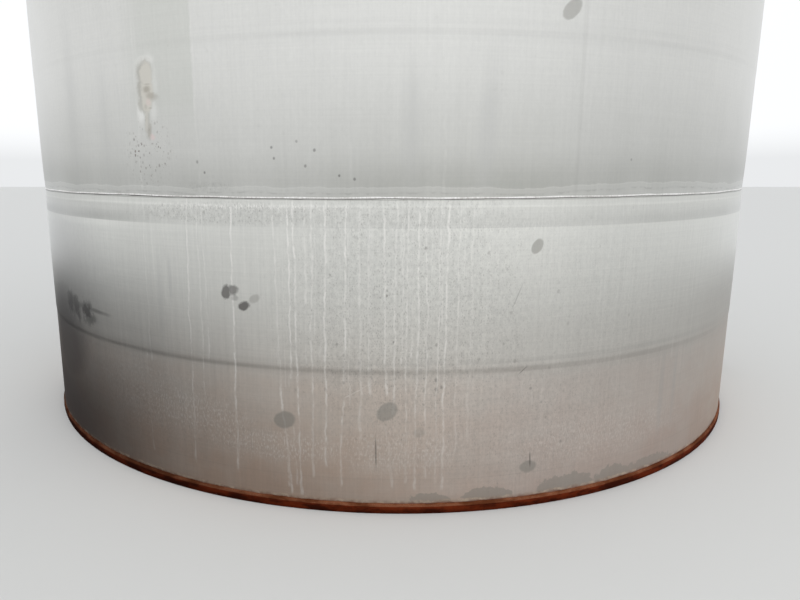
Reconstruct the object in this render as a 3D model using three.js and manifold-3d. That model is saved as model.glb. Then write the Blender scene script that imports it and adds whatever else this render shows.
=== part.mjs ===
// Vertical storage tank: a welded stainless steel shell of five courses that stands on a rusted
// carbon steel ring, with a flat floor, a cone roof, a manway, two nozzles, a vent and a hatch.
// Units are millimetres and +Z is up. The origin is the middle of the floor plate's underside.
// An angle round the tank starts at the front, which faces -Y, and grows towards +X.

import * as THREE from 'three';
import { mergeVertices } from 'three/addons/utils/BufferGeometryUtils.js';
import Module from 'manifold-3d';

const wasm = await Module();
wasm.setup();

// Shell: 14 ft across, in 4 ft courses of 5 mm plate
const SHELL_DIAMETER = 4267;
const SHELL_THICKNESS = 5;
const COURSE_HEIGHT = 1219;
const COURSE_COUNT = 5;
const SHELL_RADIUS = SHELL_DIAMETER / 2;
const SHELL_INSIDE = SHELL_RADIUS - SHELL_THICKNESS;

// Flats round the tank: every vertical seam stands on an edge between two of them
const FLAT_COUNT = 96;
const FLAT_ANGLE = 360 / FLAT_COUNT;
const HALF_TURN = FLAT_COUNT / 2;
const FIRST_SEAM_ANGLE = 19.5;

// Plates of the courses, each as its side, its first flat and its count of flats. The back of the
// bottom course is three plates, so that the outlet and the manway each have one of their own.
const BOTTOM_COURSE_PLATES = [['right', 16, 22], ['back', 38, 12], ['left', 50, 14], ['front', 64, 48]];
const ODD_COURSE_PLATES = [['back', 16, HALF_TURN], ['front', 64, HALF_TURN]];
const EVEN_COURSE_PLATES = [['right', 0, HALF_TURN], ['left', 48, HALF_TURN]];

// Foot: a ring of rolled 50 x 32 bar that the shell stands on, with the floor plate inside it
const RING_HEIGHT = 32;
const RING_WIDTH = 50;
const RING_PROUD = 8;
const RING_SEAM = 24;
const FLOOR_THICKNESS = 8;
const SHELL_TOP = RING_HEIGHT + COURSE_COUNT * COURSE_HEIGHT;

// Curb angle round the top of the shell
const CURB_LEG = 50;
const CURB_THICKNESS = 6;
const CURB_SEAM = 20;

// Roof: a cone of six plates that rises 1 in 6, and a crown plate lapped over their inner ends
const ROOF_SLOPE = 1 / 6;
const ROOF_THICKNESS = 5;
const ROOF_EDGE_RADIUS = SHELL_RADIUS + 40;
const ROOF_PLATE_COUNT = 6;
const ROOF_HOLE_RADIUS = 270;
const CROWN_RADIUS = 330;

// Vent in the middle of the roof: a 6 in pipe under a hood on straps
const VENT_RADIUS = 84;
const VENT_WALL = 7;
const VENT_STAND = 160;
const VENT_TAIL = 25;
const HOOD_RADIUS = 175;
const HOOD_SKIRT = 45;
const HOOD_SHEET = 3;
const HOOD_RISE = 45;
const HOOD_LIFT = 50;
const HOOD_STRAP_COUNT = 3;
const HOOD_STRAP_WIDTH = 30;
const HOOD_STRAP_THICKNESS = 6;
const HOOD_STRAP_LAP = 70;

// Hatch on the roof: a 20 in neck with a bolted cover
const HATCH_ANGLE = 180;
const HATCH_DISTANCE = 1300;
const HATCH_RADIUS = 254;
const HATCH_WALL = 6;
const HATCH_STAND = 130;
const HATCH_FLANGE_RADIUS = 315;
const HATCH_FLANGE_THICKNESS = 10;

// Manway low in the back of the shell: a 24 in neck with a pad round it and a bolted cover
const MANWAY_ANGLE = 180;
const MANWAY_HEIGHT = 650;
const MANWAY_RADIUS = 311;
const MANWAY_WALL = 6;
const MANWAY_REACH = 170;
const MANWAY_FLANGE_RADIUS = 385;
const MANWAY_FLANGE_THICKNESS = 14;
const MANWAY_TAIL = 30;
const PAD_RADIUS = 450;
const PAD_FIRST_FLAT = 38;
const PAD_FLAT_COUNT = 10;

// Nozzles: 4 in pipe with class 150 flanges, each shut by a blind flange
const NOZZLE_RADIUS = 57;
const NOZZLE_WALL = 6;
const NOZZLE_REACH = 150;
const NOZZLE_TAIL = 12;
const NOZZLE_FLANGE_RADIUS = 114.5;
const NOZZLE_FLANGE_THICKNESS = 24;
const OUTLET_ANGLE = 90;
const OUTLET_HEIGHT = 190;
const FILL_ANGLE = 180;
const FILL_HEIGHT = SHELL_TOP - 350;

// Fittings that pass through the shell, by course
const SHELL_FITTINGS = [
  { course: 1, angle: MANWAY_ANGLE, height: MANWAY_HEIGHT, radius: MANWAY_RADIUS },
  { course: 1, angle: OUTLET_ANGLE, height: OUTLET_HEIGHT, radius: NOZZLE_RADIUS },
  { course: COURSE_COUNT, angle: FILL_ANGLE, height: FILL_HEIGHT, radius: NOZZLE_RADIUS },
];

// Lifting lugs near the top, on opposite sides
const LUG_FLATS = [19, 19 + HALF_TURN];
const LUG_PAD_HEIGHT = 320;
const LUG_PAD_THICKNESS = 6;
const LUG_CENTRE_HEIGHT = SHELL_TOP - 260;
const LUG_THICKNESS = 20;
const LUG_HEIGHT = 200;
const LUG_REACH = 90;
const LUG_EYE_RADIUS = 26;

// Room between solids that are cut to fit each other, filled by weld in the real tank
const FIT_GAP = 0.3;

const ROUND_SEGMENTS = 32;
const VENT_SEGMENTS = 24;
const EYE_SEGMENTS = 16;

const SHELL_STEEL = { color: 0xb7b5b1, roughness: 0.42, metalness: 0.85 };
const ROOF_STEEL = { color: 0xaeadaa, roughness: 0.5, metalness: 0.8 };
const FITTING_STEEL = { color: 0xa6a5a2, roughness: 0.38, metalness: 0.9 };
const RUSTED_STEEL = { color: 0x5a2a1c, roughness: 0.9, metalness: 0.15 };

const tank = new THREE.Group();
tank.name = 'vertical_storage_tank';

// Angle round the tank of the edge before flat number n, in radians
function flatAngle(n) {
  return THREE.MathUtils.degToRad(FIRST_SEAM_ANGLE + n * FLAT_ANGLE);
}

function addPiece(name, geometry, steel, parent = tank) {
  const mesh = new THREE.Mesh(geometry, new THREE.MeshStandardMaterial(steel));
  mesh.name = name;
  parent.add(mesh);
  return mesh;
}

// A curved bar: flats first to first + count, between two radii, standing on z = 0
function curvedBar(first, count, inside, outside, height) {
  const start = flatAngle(first) - Math.PI / 2;
  const end = flatAngle(first + count) - Math.PI / 2;
  const outline = new THREE.Shape();
  outline.absarc(0, 0, outside, start, end, false);
  outline.absarc(0, 0, inside, end, start, true);
  outline.closePath();
  return new THREE.ExtrudeGeometry(outline, {
    depth: height,
    curveSegments: count / 2,
    bevelEnabled: false,
  });
}

// A turned piece: the closed profile of [radius, z] points runs anticlockwise
function turned(profile, segments) {
  const points = [...profile, profile[0]].map(([radius, z]) => new THREE.Vector2(radius, z));
  return new THREE.LatheGeometry(points, segments).rotateX(Math.PI / 2);
}

// A round bar or disc on the Z axis, from z = low to z = high
function disc(radius, low, high, segments = ROUND_SEGMENTS, start = 0) {
  const bar = new THREE.CylinderGeometry(radius, radius, high - low, segments, 1, false, start);
  return bar.rotateX(Math.PI / 2).translate(0, 0, (low + high) / 2);
}

// A short tube on the Z axis with square ends
function tube(inside, outside, low, high) {
  return turned([[inside, low], [outside, low], [outside, high], [inside, high]], ROUND_SEGMENTS);
}

// A pipe with a flange on its upper end: low to high, the flange the last of it
function flangedPipe(radius, wall, low, high, flangeRadius, flangeThickness) {
  return turned([
    [radius - wall, low],
    [radius, low],
    [radius, high - flangeThickness],
    [flangeRadius, high - flangeThickness],
    [flangeRadius, high],
    [radius - wall, high],
  ], ROUND_SEGMENTS);
}

function toSolid(geometry) {
  const bare = geometry.clone();
  bare.deleteAttribute('normal');
  bare.deleteAttribute('uv');
  const merged = mergeVertices(bare, 1e-3);
  return new wasm.Manifold(new wasm.Mesh({
    numProp: 3,
    vertProperties: Float32Array.from(merged.attributes.position.array),
    triVerts: Uint32Array.from(merged.index.array),
  }));
}

function toGeometry(solid) {
  const mesh = solid.getMesh();
  const geometry = new THREE.BufferGeometry();
  geometry.setAttribute('position', new THREE.Float32BufferAttribute(mesh.vertProperties, 3));
  geometry.setIndex(new THREE.Uint32BufferAttribute(mesh.triVerts, 1));
  geometry.computeVertexNormals();
  return geometry;
}

function cut(geometry, cutters) {
  let solid = toSolid(geometry);
  for (const cutter of cutters) {
    solid = solid.subtract(toSolid(cutter));
  }
  return toGeometry(solid);
}

function join(geometries) {
  const [first, ...others] = geometries.map(toSolid);
  return toGeometry(others.reduce((whole, next) => whole.add(next), first));
}

// Turns a group so that its own +Z points straight out of the shell at an angle and a height.
// Its z is then the distance from the tank's axis.
function radialGroup(degrees, height) {
  const group = new THREE.Group();
  group.rotation.set(Math.PI / 2, 0, THREE.MathUtils.degToRad(degrees), 'ZXY');
  group.position.z = height;
  group.updateMatrixWorld();
  return group;
}

// A round cutter through the shell at an angle and a height, measured from a course's foot
function radialCutter(degrees, height, radius) {
  const cutter = disc(radius, SHELL_INSIDE - 200, SHELL_RADIUS + 200);
  return cutter.applyMatrix4(radialGroup(degrees, height).matrixWorld);
}

function roofUnderside(radius) {
  return SHELL_TOP + (ROOF_EDGE_RADIUS - radius) * ROOF_SLOPE;
}

// Lifts a flat ring or a part of one onto the roof's cone
function liftToCone(geometry, height = 0) {
  const place = geometry.attributes.position;
  for (let i = 0; i < place.count; i += 1) {
    const radius = Math.hypot(place.getX(i), place.getY(i));
    place.setZ(i, place.getZ(i) + roofUnderside(radius) + height);
  }
  geometry.computeVertexNormals();
  return geometry;
}

function buildFoot() {
  const outside = SHELL_RADIUS + RING_PROUD;
  const inside = outside - RING_WIDTH;
  ['base_ring_back', 'base_ring_front'].forEach((name, i) => {
    const first = RING_SEAM + i * HALF_TURN;
    addPiece(name, curvedBar(first, HALF_TURN, inside, outside, RING_HEIGHT), RUSTED_STEEL);
  });

  const floor = disc(inside - FIT_GAP, 0, FLOOR_THICKNESS, FLAT_COUNT, flatAngle(0));
  addPiece('floor_plate', floor, SHELL_STEEL);
}

function coursePlates(course) {
  if (course === 1) {
    return BOTTOM_COURSE_PLATES;
  }
  return course % 2 === 1 ? ODD_COURSE_PLATES : EVEN_COURSE_PLATES;
}

// Cutters for the fittings whose middle lies on a plate that starts at a flat and has count flats
function plateCutters(course, foot, first, count) {
  const start = FIRST_SEAM_ANGLE + first * FLAT_ANGLE;
  return SHELL_FITTINGS
    .filter((fitting) => fitting.course === course)
    .filter(({ angle }) => angle > start && angle < start + count * FLAT_ANGLE)
    .map(({ angle, height, radius }) => radialCutter(angle, height - foot, radius + FIT_GAP));
}

// The seams of one course stand clear of the next one's
function buildShell() {
  for (let course = 1; course <= COURSE_COUNT; course += 1) {
    const foot = RING_HEIGHT + (course - 1) * COURSE_HEIGHT;
    coursePlates(course).forEach(([side, first, count]) => {
      const plate = curvedBar(first, count, SHELL_INSIDE, SHELL_RADIUS, COURSE_HEIGHT);
      const cutters = plateCutters(course, foot, first, count);
      const geometry = cutters.length > 0 ? cut(plate, cutters) : plate;
      addPiece(`shell_course_${course}_${side}`, geometry, SHELL_STEEL).position.z = foot;
    });
  }
}

// The curb's upright leg laps the outside of the shell, and its flat leg stands outwards on top
function buildCurb() {
  ['curb_angle_back', 'curb_angle_front'].forEach((name, i) => {
    const first = CURB_SEAM + i * HALF_TURN;
    const inside = SHELL_RADIUS + FIT_GAP;
    const upright = curvedBar(first, HALF_TURN, inside, inside + CURB_THICKNESS, CURB_LEG);
    const flat = curvedBar(first, HALF_TURN, inside, inside + CURB_LEG, CURB_THICKNESS);
    flat.translate(0, 0, CURB_LEG - CURB_THICKNESS);
    addPiece(name, join([upright, flat]), FITTING_STEEL).position.z = SHELL_TOP - CURB_LEG;
  });
}

function hatchCutter() {
  const cutter = disc(HATCH_RADIUS + FIT_GAP, SHELL_TOP - 200, SHELL_TOP + 800);
  const angle = THREE.MathUtils.degToRad(HATCH_ANGLE);
  return cutter.translate(HATCH_DISTANCE * Math.sin(angle), -HATCH_DISTANCE * Math.cos(angle), 0);
}

function buildRoof() {
  const flatsPerPlate = FLAT_COUNT / ROOF_PLATE_COUNT;
  for (let i = 0; i < ROOF_PLATE_COUNT; i += 1) {
    const first = i * flatsPerPlate;
    const bar = curvedBar(first, flatsPerPlate, ROOF_HOLE_RADIUS, ROOF_EDGE_RADIUS, ROOF_THICKNESS);
    let plate = liftToCone(bar);
    const start = FIRST_SEAM_ANGLE + first * FLAT_ANGLE;
    if (HATCH_ANGLE > start && HATCH_ANGLE < start + flatsPerPlate * FLAT_ANGLE) {
      plate = cut(plate, [hatchCutter()]);
    }
    addPiece(`roof_plate_${i + 1}`, plate, ROOF_STEEL);
  }

  const crownLow = roofUnderside(CROWN_RADIUS) + ROOF_THICKNESS + FIT_GAP;
  const crownRise = (CROWN_RADIUS - VENT_RADIUS - FIT_GAP) * ROOF_SLOPE;
  const crown = new THREE.LatheGeometry([
    new THREE.Vector2(VENT_RADIUS + FIT_GAP, crownLow + crownRise),
    new THREE.Vector2(CROWN_RADIUS, crownLow),
    new THREE.Vector2(CROWN_RADIUS, crownLow + ROOF_THICKNESS),
    new THREE.Vector2(VENT_RADIUS + FIT_GAP, crownLow + crownRise + ROOF_THICKNESS),
    new THREE.Vector2(VENT_RADIUS + FIT_GAP, crownLow + crownRise),
  ], FLAT_COUNT, flatAngle(0));
  addPiece('roof_crown_plate', crown.rotateX(Math.PI / 2), ROOF_STEEL);
}

function buildVent() {
  const roofTop = roofUnderside(VENT_RADIUS) + ROOF_THICKNESS;
  const neckTop = roofTop + VENT_STAND;
  addPiece('vent_neck', turned([
    [VENT_RADIUS - VENT_WALL, roofTop - VENT_TAIL],
    [VENT_RADIUS, roofTop - VENT_TAIL],
    [VENT_RADIUS, neckTop],
    [VENT_RADIUS - VENT_WALL, neckTop],
  ], VENT_SEGMENTS), FITTING_STEEL);

  const eaves = neckTop + HOOD_LIFT;
  const hood = new THREE.LatheGeometry([
    [0, eaves + HOOD_RISE - HOOD_SHEET],
    [HOOD_RADIUS - HOOD_SHEET, eaves - HOOD_SHEET],
    [HOOD_RADIUS - HOOD_SHEET, eaves - HOOD_SKIRT],
    [HOOD_RADIUS, eaves - HOOD_SKIRT],
    [HOOD_RADIUS, eaves],
    [0, eaves + HOOD_RISE],
  ].map(([radius, z]) => new THREE.Vector2(radius, z)), ROUND_SEGMENTS).rotateX(Math.PI / 2);
  const strapFoot = neckTop - HOOD_STRAP_LAP;
  const strapTop = eaves + HOOD_RISE * (1 - VENT_RADIUS / HOOD_RADIUS) - HOOD_SHEET;
  const straps = [];
  for (let i = 0; i < HOOD_STRAP_COUNT; i += 1) {
    const strap = new THREE.BoxGeometry(HOOD_STRAP_WIDTH, HOOD_STRAP_THICKNESS, strapTop - strapFoot);
    const out = VENT_RADIUS + FIT_GAP + HOOD_STRAP_THICKNESS / 2;
    strap.translate(0, -out, (strapFoot + strapTop) / 2);
    straps.push(strap.rotateZ((i * 2 * Math.PI) / HOOD_STRAP_COUNT));
  }
  addPiece('vent_hood', join([hood, ...straps]), FITTING_STEEL);
}

function buildHatch() {
  const group = new THREE.Group();
  const angle = THREE.MathUtils.degToRad(HATCH_ANGLE);
  group.position.set(HATCH_DISTANCE * Math.sin(angle), -HATCH_DISTANCE * Math.cos(angle), 0);
  tank.add(group);
  const low = roofUnderside(HATCH_DISTANCE + HATCH_RADIUS) - 10;
  const high = roofUnderside(HATCH_DISTANCE) + HATCH_STAND;
  const neck = tube(HATCH_RADIUS - HATCH_WALL, HATCH_RADIUS, low, high);
  addPiece('roof_hatch_neck', neck, FITTING_STEEL, group);
  const flangeLow = high - HATCH_FLANGE_THICKNESS;
  const flange = tube(HATCH_RADIUS + FIT_GAP, HATCH_FLANGE_RADIUS, flangeLow, high);
  addPiece('roof_hatch_flange', flange, FITTING_STEEL, group);
  const coverLow = high + FIT_GAP;
  const cover = disc(HATCH_FLANGE_RADIUS, coverLow, coverLow + HATCH_FLANGE_THICKNESS);
  addPiece('roof_hatch_cover', cover, FITTING_STEEL, group);
}

function buildManway() {
  const padInside = SHELL_RADIUS + FIT_GAP;
  const padOutside = padInside + SHELL_THICKNESS;
  const sheet = curvedBar(PAD_FIRST_FLAT, PAD_FLAT_COUNT, padInside, padOutside, 2 * PAD_RADIUS);
  const middle = PAD_RADIUS;
  const round = toSolid(sheet).intersect(toSolid(radialCutter(MANWAY_ANGLE, middle, PAD_RADIUS - 1)));
  const bore = toSolid(radialCutter(MANWAY_ANGLE, middle, MANWAY_RADIUS + FIT_GAP));
  const pad = addPiece('manway_pad', toGeometry(round.subtract(bore)), FITTING_STEEL);
  pad.position.z = MANWAY_HEIGHT - middle;

  const group = radialGroup(MANWAY_ANGLE, MANWAY_HEIGHT);
  tank.add(group);
  const face = SHELL_RADIUS + MANWAY_REACH;
  const neck = tube(MANWAY_RADIUS - MANWAY_WALL, MANWAY_RADIUS, SHELL_INSIDE - MANWAY_TAIL, face);
  addPiece('manway_neck', neck, FITTING_STEEL, group);
  const flangeLow = face - MANWAY_FLANGE_THICKNESS;
  const flange = tube(MANWAY_RADIUS + FIT_GAP, MANWAY_FLANGE_RADIUS, flangeLow, face);
  addPiece('manway_flange', flange, FITTING_STEEL, group);
  const coverLow = face + FIT_GAP;
  const cover = disc(MANWAY_FLANGE_RADIUS, coverLow, coverLow + MANWAY_FLANGE_THICKNESS);
  addPiece('manway_cover', cover, FITTING_STEEL, group);
}

function buildNozzle(name, degrees, height) {
  const group = radialGroup(degrees, height);
  tank.add(group);
  const face = SHELL_RADIUS + NOZZLE_REACH;
  addPiece(`${name}_nozzle`, flangedPipe(
    NOZZLE_RADIUS, NOZZLE_WALL, SHELL_INSIDE - NOZZLE_TAIL, face,
    NOZZLE_FLANGE_RADIUS, NOZZLE_FLANGE_THICKNESS,
  ), FITTING_STEEL, group);
  const blindLow = face + FIT_GAP;
  const blind = disc(NOZZLE_FLANGE_RADIUS, blindLow, blindLow + NOZZLE_FLANGE_THICKNESS);
  addPiece(`${name}_blind_flange`, blind, FITTING_STEEL, group);
}

// A lug is a plate that stands out of the shell on a curved pad, with an eye for a shackle
function buildLug(name, flat) {
  const padInside = SHELL_RADIUS + FIT_GAP;
  const padOutside = padInside + LUG_PAD_THICKNESS;
  const pad = curvedBar(flat - 1, 2, padInside, padOutside, LUG_PAD_HEIGHT);
  pad.translate(0, 0, -LUG_PAD_HEIGHT / 2);

  const half = LUG_HEIGHT / 2;
  const round = half * 0.55;
  const root = padInside + 1;
  const tip = padOutside + LUG_REACH;
  const outline = new THREE.Shape();
  outline.moveTo(root, -half);
  outline.lineTo(padOutside, -half);
  outline.lineTo(tip, -round);
  outline.absarc(tip, 0, round, -Math.PI / 2, Math.PI / 2, false);
  outline.lineTo(padOutside, half);
  outline.lineTo(root, half);
  outline.closePath();
  const eye = new THREE.Path();
  eye.absarc(tip, 0, LUG_EYE_RADIUS, 0, 2 * Math.PI, true);
  outline.holes.push(eye);
  const plate = new THREE.ExtrudeGeometry(outline, {
    depth: LUG_THICKNESS,
    curveSegments: EYE_SEGMENTS / 2,
    bevelEnabled: false,
  });
  plate.translate(0, 0, -LUG_THICKNESS / 2);
  plate.rotateX(Math.PI / 2);
  plate.rotateZ(flatAngle(flat) - Math.PI / 2);
  addPiece(name, join([pad, plate]), FITTING_STEEL).position.z = LUG_CENTRE_HEIGHT;
}

buildFoot();
buildShell();
buildCurb();
buildRoof();
buildVent();
buildHatch();
buildManway();
buildNozzle('outlet', OUTLET_ANGLE, OUTLET_HEIGHT);
buildNozzle('fill', FILL_ANGLE, FILL_HEIGHT);
buildLug('lifting_lug_right', LUG_FLATS[0]);
buildLug('lifting_lug_left', LUG_FLATS[1]);

export default tank;
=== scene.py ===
"""Looks of a vertical storage tank: weathered stainless plate, welds and bolted fittings.

Lengths are metres. The tank stands on z = 0 round the Z axis. An angle round it starts at the front,
which faces -Y, and grows towards +X. A mark on the shell is placed by arc length and height, as on a
plate laid flat.
"""

import logging
import math
from dataclasses import dataclass, field
from enum import Enum
from functools import reduce
from typing import ClassVar, Iterable, Sequence

import bmesh
import bpy
import numpy as np
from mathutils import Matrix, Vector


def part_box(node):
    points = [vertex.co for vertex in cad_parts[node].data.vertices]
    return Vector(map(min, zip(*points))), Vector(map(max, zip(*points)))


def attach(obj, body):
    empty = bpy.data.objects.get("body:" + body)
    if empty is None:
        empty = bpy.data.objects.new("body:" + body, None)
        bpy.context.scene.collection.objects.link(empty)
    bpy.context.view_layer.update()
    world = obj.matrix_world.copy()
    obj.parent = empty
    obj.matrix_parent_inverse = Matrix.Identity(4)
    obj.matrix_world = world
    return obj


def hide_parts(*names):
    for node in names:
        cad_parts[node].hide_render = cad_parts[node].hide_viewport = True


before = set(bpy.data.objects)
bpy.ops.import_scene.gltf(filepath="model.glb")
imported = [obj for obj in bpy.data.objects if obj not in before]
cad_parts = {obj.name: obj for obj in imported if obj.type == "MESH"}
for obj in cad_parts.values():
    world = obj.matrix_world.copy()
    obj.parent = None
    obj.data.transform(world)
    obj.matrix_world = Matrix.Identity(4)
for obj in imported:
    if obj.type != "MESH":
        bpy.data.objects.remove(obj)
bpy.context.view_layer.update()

LOG = logging.getLogger("tank")
BODY = "root"
TURN = 2 * math.pi

Array = np.ndarray
Triple = tuple[float, float, float]
Object = bpy.types.Object
Material = bpy.types.Material
NodeTree = bpy.types.NodeTree
Socket = bpy.types.NodeSocket


class Slot(Enum):
    """Material slots of the record."""

    SHELL = "shell_stainless"
    ROOF = "roof_stainless"
    FITTING = "fitting_stainless"
    RUST = "rusted_steel"


@dataclass(frozen=True)
class TankForm:
    """Driving sizes of the tank."""

    foot: float  # top of the foot ring, where the bottom course starts
    top: float  # upper edge of the shell
    radius: float = 2.1335  # outer radius of the shell
    plate: float = 0.005
    courses: int = 5
    flats: int = 96  # equal parts of a turn, which the seams are placed by
    first_seam: float = 19.5  # angle of flat 0, in degrees
    ring_proud: float = 0.008  # how far the foot ring stands out of the shell
    ring_width: float = 0.050
    roof_overhang: float = 0.040
    roof_slope: float = 1 / 6
    roof_plate: float = 0.005
    fit_gap: float = 0.0003  # room that the CAD leaves between pieces that are welded together

    @classmethod
    def from_frame(cls) -> "TankForm":
        """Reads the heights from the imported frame."""
        return cls(foot=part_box("base_ring_front")[1][2], top=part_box("shell_course_5_front")[1][2])

    @property
    def course_height(self) -> float:
        """Height of one course."""
        return (self.top - self.foot) / self.courses

    @property
    def inside(self) -> float:
        """Inner radius of the shell."""
        return self.radius - self.plate

    @property
    def roof_edge(self) -> float:
        """Outer radius of the roof."""
        return self.radius + self.roof_overhang

    def course_foot(self, course: int) -> float:
        """Height at which a course starts, the bottom one being course 1."""
        return self.foot + (course - 1) * self.course_height

    def seam_angle(self, flat: float) -> float:
        """Angle of the start of a flat, in radians."""
        return math.radians(self.first_seam + flat * 360 / self.flats)

    def angles(self, first: int, count: int, columns: int) -> Array:
        """Angles from the start of a flat over a count of flats, with some columns to a flat."""
        steps = np.arange(count * columns + 1) / columns
        return np.radians(self.first_seam + (first + steps) * 360 / self.flats)

    def turn(self, columns: int) -> Array:
        """Angles of one full turn, without the last one, which is the first again."""
        return self.angles(0, self.flats, columns)[:-1]

    def roof_underside(self, distance: Array | float) -> Array | float:
        """Height of the roof's underside at a distance from the axis."""
        return self.top + (self.roof_edge - distance) * self.roof_slope


# Shapes: profiles, paths and the grids between them


@dataclass(frozen=True)
class Path:
    """Stations that a profile is carried along, its first coordinate across and its second up."""

    points: Array
    across: Array
    up: Array


def hoop(angles: Array, radius: Array | float = 0.0, height: Array | float = 0.0) -> Path:
    """A path round the Z axis. A station lies at (r sin a, -r cos a, z), and across points out.

    Args:
        angles: Angle of each station, in radians.
        radius: Distance from the axis, one for all or one each.
        height: Height, one for all or one each.

    Returns:
        The path.
    """
    out = np.stack([np.sin(angles), -np.cos(angles), np.zeros_like(angles)], axis=1)
    up = np.tile((0.0, 0.0, 1.0), (len(angles), 1))
    radii, heights = (np.broadcast_to(part, angles.shape)[:, None] for part in (radius, height))
    return Path(out * radii + up * heights, out, up)


def straight(points: Array, across: Sequence[float], up: Sequence[float]) -> Path:
    """A path whose stations all face the same way."""
    return Path(points, *(np.tile(part, (len(points), 1)) for part in (across, up)))


def directions(angle: float) -> tuple[Array, Array]:
    """Unit vectors out of the tank and sideways, at an angle in radians."""
    c, s = math.cos(angle), math.sin(angle)
    return np.array([s, -c, 0.0]), np.array([c, s, 0.0])


def spin(angle: float) -> Array:
    """Matrix that turns rows of points round the local Z axis, by an angle in radians."""
    c, s = math.cos(angle), math.sin(angle)
    return np.array([[c, s, 0.0], [-s, c, 0.0], [0.0, 0.0, 1.0]])


def carried(profile: Array, path: Path) -> Array:
    """Grid of a profile along a path: station + first coordinate * across + second * up.

    The profile is one set of points of two coordinates for all stations, or one for each.
    """
    shape = profile if profile.ndim == 3 else profile[None]
    return (path.points[:, None] + path.across[:, None] * shape[..., :1]
            + path.up[:, None] * shape[..., 1:])


def turned(profile: Array, segments: int) -> Array:
    """Turns a profile of (radius, z) points round the local Z axis, as a closed grid."""
    return carried(profile, hoop(np.linspace(0.0, TURN, segments, endpoint=False)))


def rounded(corners: Sequence[Sequence[float]], radius: float, steps: int = 4) -> Array:
    """Rounds the corners of a closed profile.

    Each corner gives way to a quadratic curve between the points that lie a radius before it and
    after it, or half the side where the side is too short.

    Args:
        corners: The corners in order.
        radius: Reach of the rounding along both sides.
        steps: Points of each curve.

    Returns:
        The points of the rounded profile.
    """
    points = np.array(corners, dtype=float)
    ends = []
    for side in (np.roll(points, 1, axis=0) - points, np.roll(points, -1, axis=0) - points):
        length = np.linalg.norm(side, axis=1, keepdims=True)
        ends.append((points + side / length * np.minimum(radius, length * 0.49))[:, None])
    t = np.linspace(0.0, 1.0, steps)[None, :, None]
    curve = (1 - t) ** 2 * ends[0] + 2 * t * (1 - t) * points[:, None] + t ** 2 * ends[1]
    return curve.reshape(-1, 2)


def box_profile(low: Sequence[float], high: Sequence[float], edge: float, steps: int = 3) -> Array:
    """Profile of a bar or tube between its lowest and its highest corner, with rounded edges."""
    return rounded([[low[0], low[1]], [high[0], low[1]], [high[0], high[1]], [low[0], high[1]]], edge, steps)


def disc_profile(radius: float, low: float, high: float, edge: float) -> Array:
    """Profile of a disc from its lower middle out, up and back in, with rounded rims.

    Args:
        radius: Radius of the disc.
        low: Height of its lower face.
        high: Height of its upper face.
        edge: Radius of the roundings.

    Returns:
        The points of the profile.
    """
    t = np.linspace(0.0, math.pi / 2, 4)
    rim = radius - edge + edge * np.sin(t)
    lower = np.stack([rim, low + edge * (1 - np.cos(t))], axis=1)
    upper = np.stack([rim, high - edge * (1 - np.cos(t))], axis=1)[::-1]
    return np.vstack([[[0.0, low]], lower, upper, [[0.0, high]]])


def resampled(profile: Array, spacing: float) -> Array:
    """Spreads points evenly along a closed profile, by its running length.

    Args:
        profile: The points of the profile.
        spacing: About how far apart the new points lie.

    Returns:
        The new points.
    """
    ring = np.vstack([profile, profile[:1]])
    run = np.concatenate([[0.0], np.cumsum(np.linalg.norm(np.diff(ring, axis=0), axis=1))])
    places = np.linspace(0.0, run[-1], max(8, int(run[-1] / spacing)), endpoint=False)
    return np.stack([np.interp(places, run, ring[:, axis]) for axis in range(2)], axis=1)


def weld_cap(width: float, rise: float) -> Array:
    """Profile of a butt weld: half an ellipse over the plate, with a flat root sunk in it.

    Args:
        width: Width across the seam, along the second coordinate.
        rise: Height over the plate, along the first.

    Returns:
        The points of the profile.
    """
    t = np.linspace(0.0, math.pi, 7)
    cap = np.stack([rise * np.sin(t), width / 2 * np.cos(t)], axis=1)
    sink = 0.003
    return np.vstack([cap, [[-sink, -width / 2], [-sink, width / 2]]])


def weld_fillet(along_first: float, along_second: float, sink: float = 0.002) -> Array:
    """Profile of a fillet weld in the corner at (0, 0).

    Its face lies between a straight line and a quarter of an ellipse, nearer to the ellipse.

    Args:
        along_first: Leg along the first coordinate.
        along_second: Leg along the second coordinate.
        sink: How deep the root lies in both plates.

    Returns:
        The points of the profile.
    """
    t = np.linspace(0.0, math.pi / 2, 5)
    bulge = 0.62
    line = 1 - t / t[-1]
    first = along_first * (bulge * np.cos(t) + (1 - bulge) * line)
    second = along_second * (bulge * np.sin(t) + (1 - bulge) * (1 - line))
    root = np.array([[-sink, along_second], [-sink, -sink], [along_first, -sink]])
    return np.vstack([np.stack([first, second], axis=1), root])


def smooth_step(values: Array, low: float, high: float) -> Array:
    """Rises from 0 at low to 1 at high along 3 t^2 - 2 t^3."""
    t = np.clip((values - low) / (high - low), 0.0, 1.0)
    return t * t * (3 - 2 * t)


def waves(along: Array, turns: Sequence[int], seed: int, height: Array | float = 0.0,
          length: float = 1.0) -> Array:
    """Sum of slanting sine waves, from about -1 to 1. Round the tank they close on themselves.

    Args:
        along: Angles in radians, or places on a line.
        turns: Waves round a full turn, one number for each wave.
        seed: Seed of the phases.
        height: Heights, where the waves slant.
        length: About how long a wave is in height.

    Returns:
        The sum at each place.
    """
    draw = np.random.default_rng(seed)
    phases = draw.uniform(0.0, TURN, len(turns))
    rises = draw.uniform(-1.0, 1.0, len(turns)) * TURN / length
    parts = [np.sin(n * along + rise * height + phase) for n, rise, phase in zip(turns, rises, phases)]
    return sum(parts) / math.sqrt(len(turns))


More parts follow.
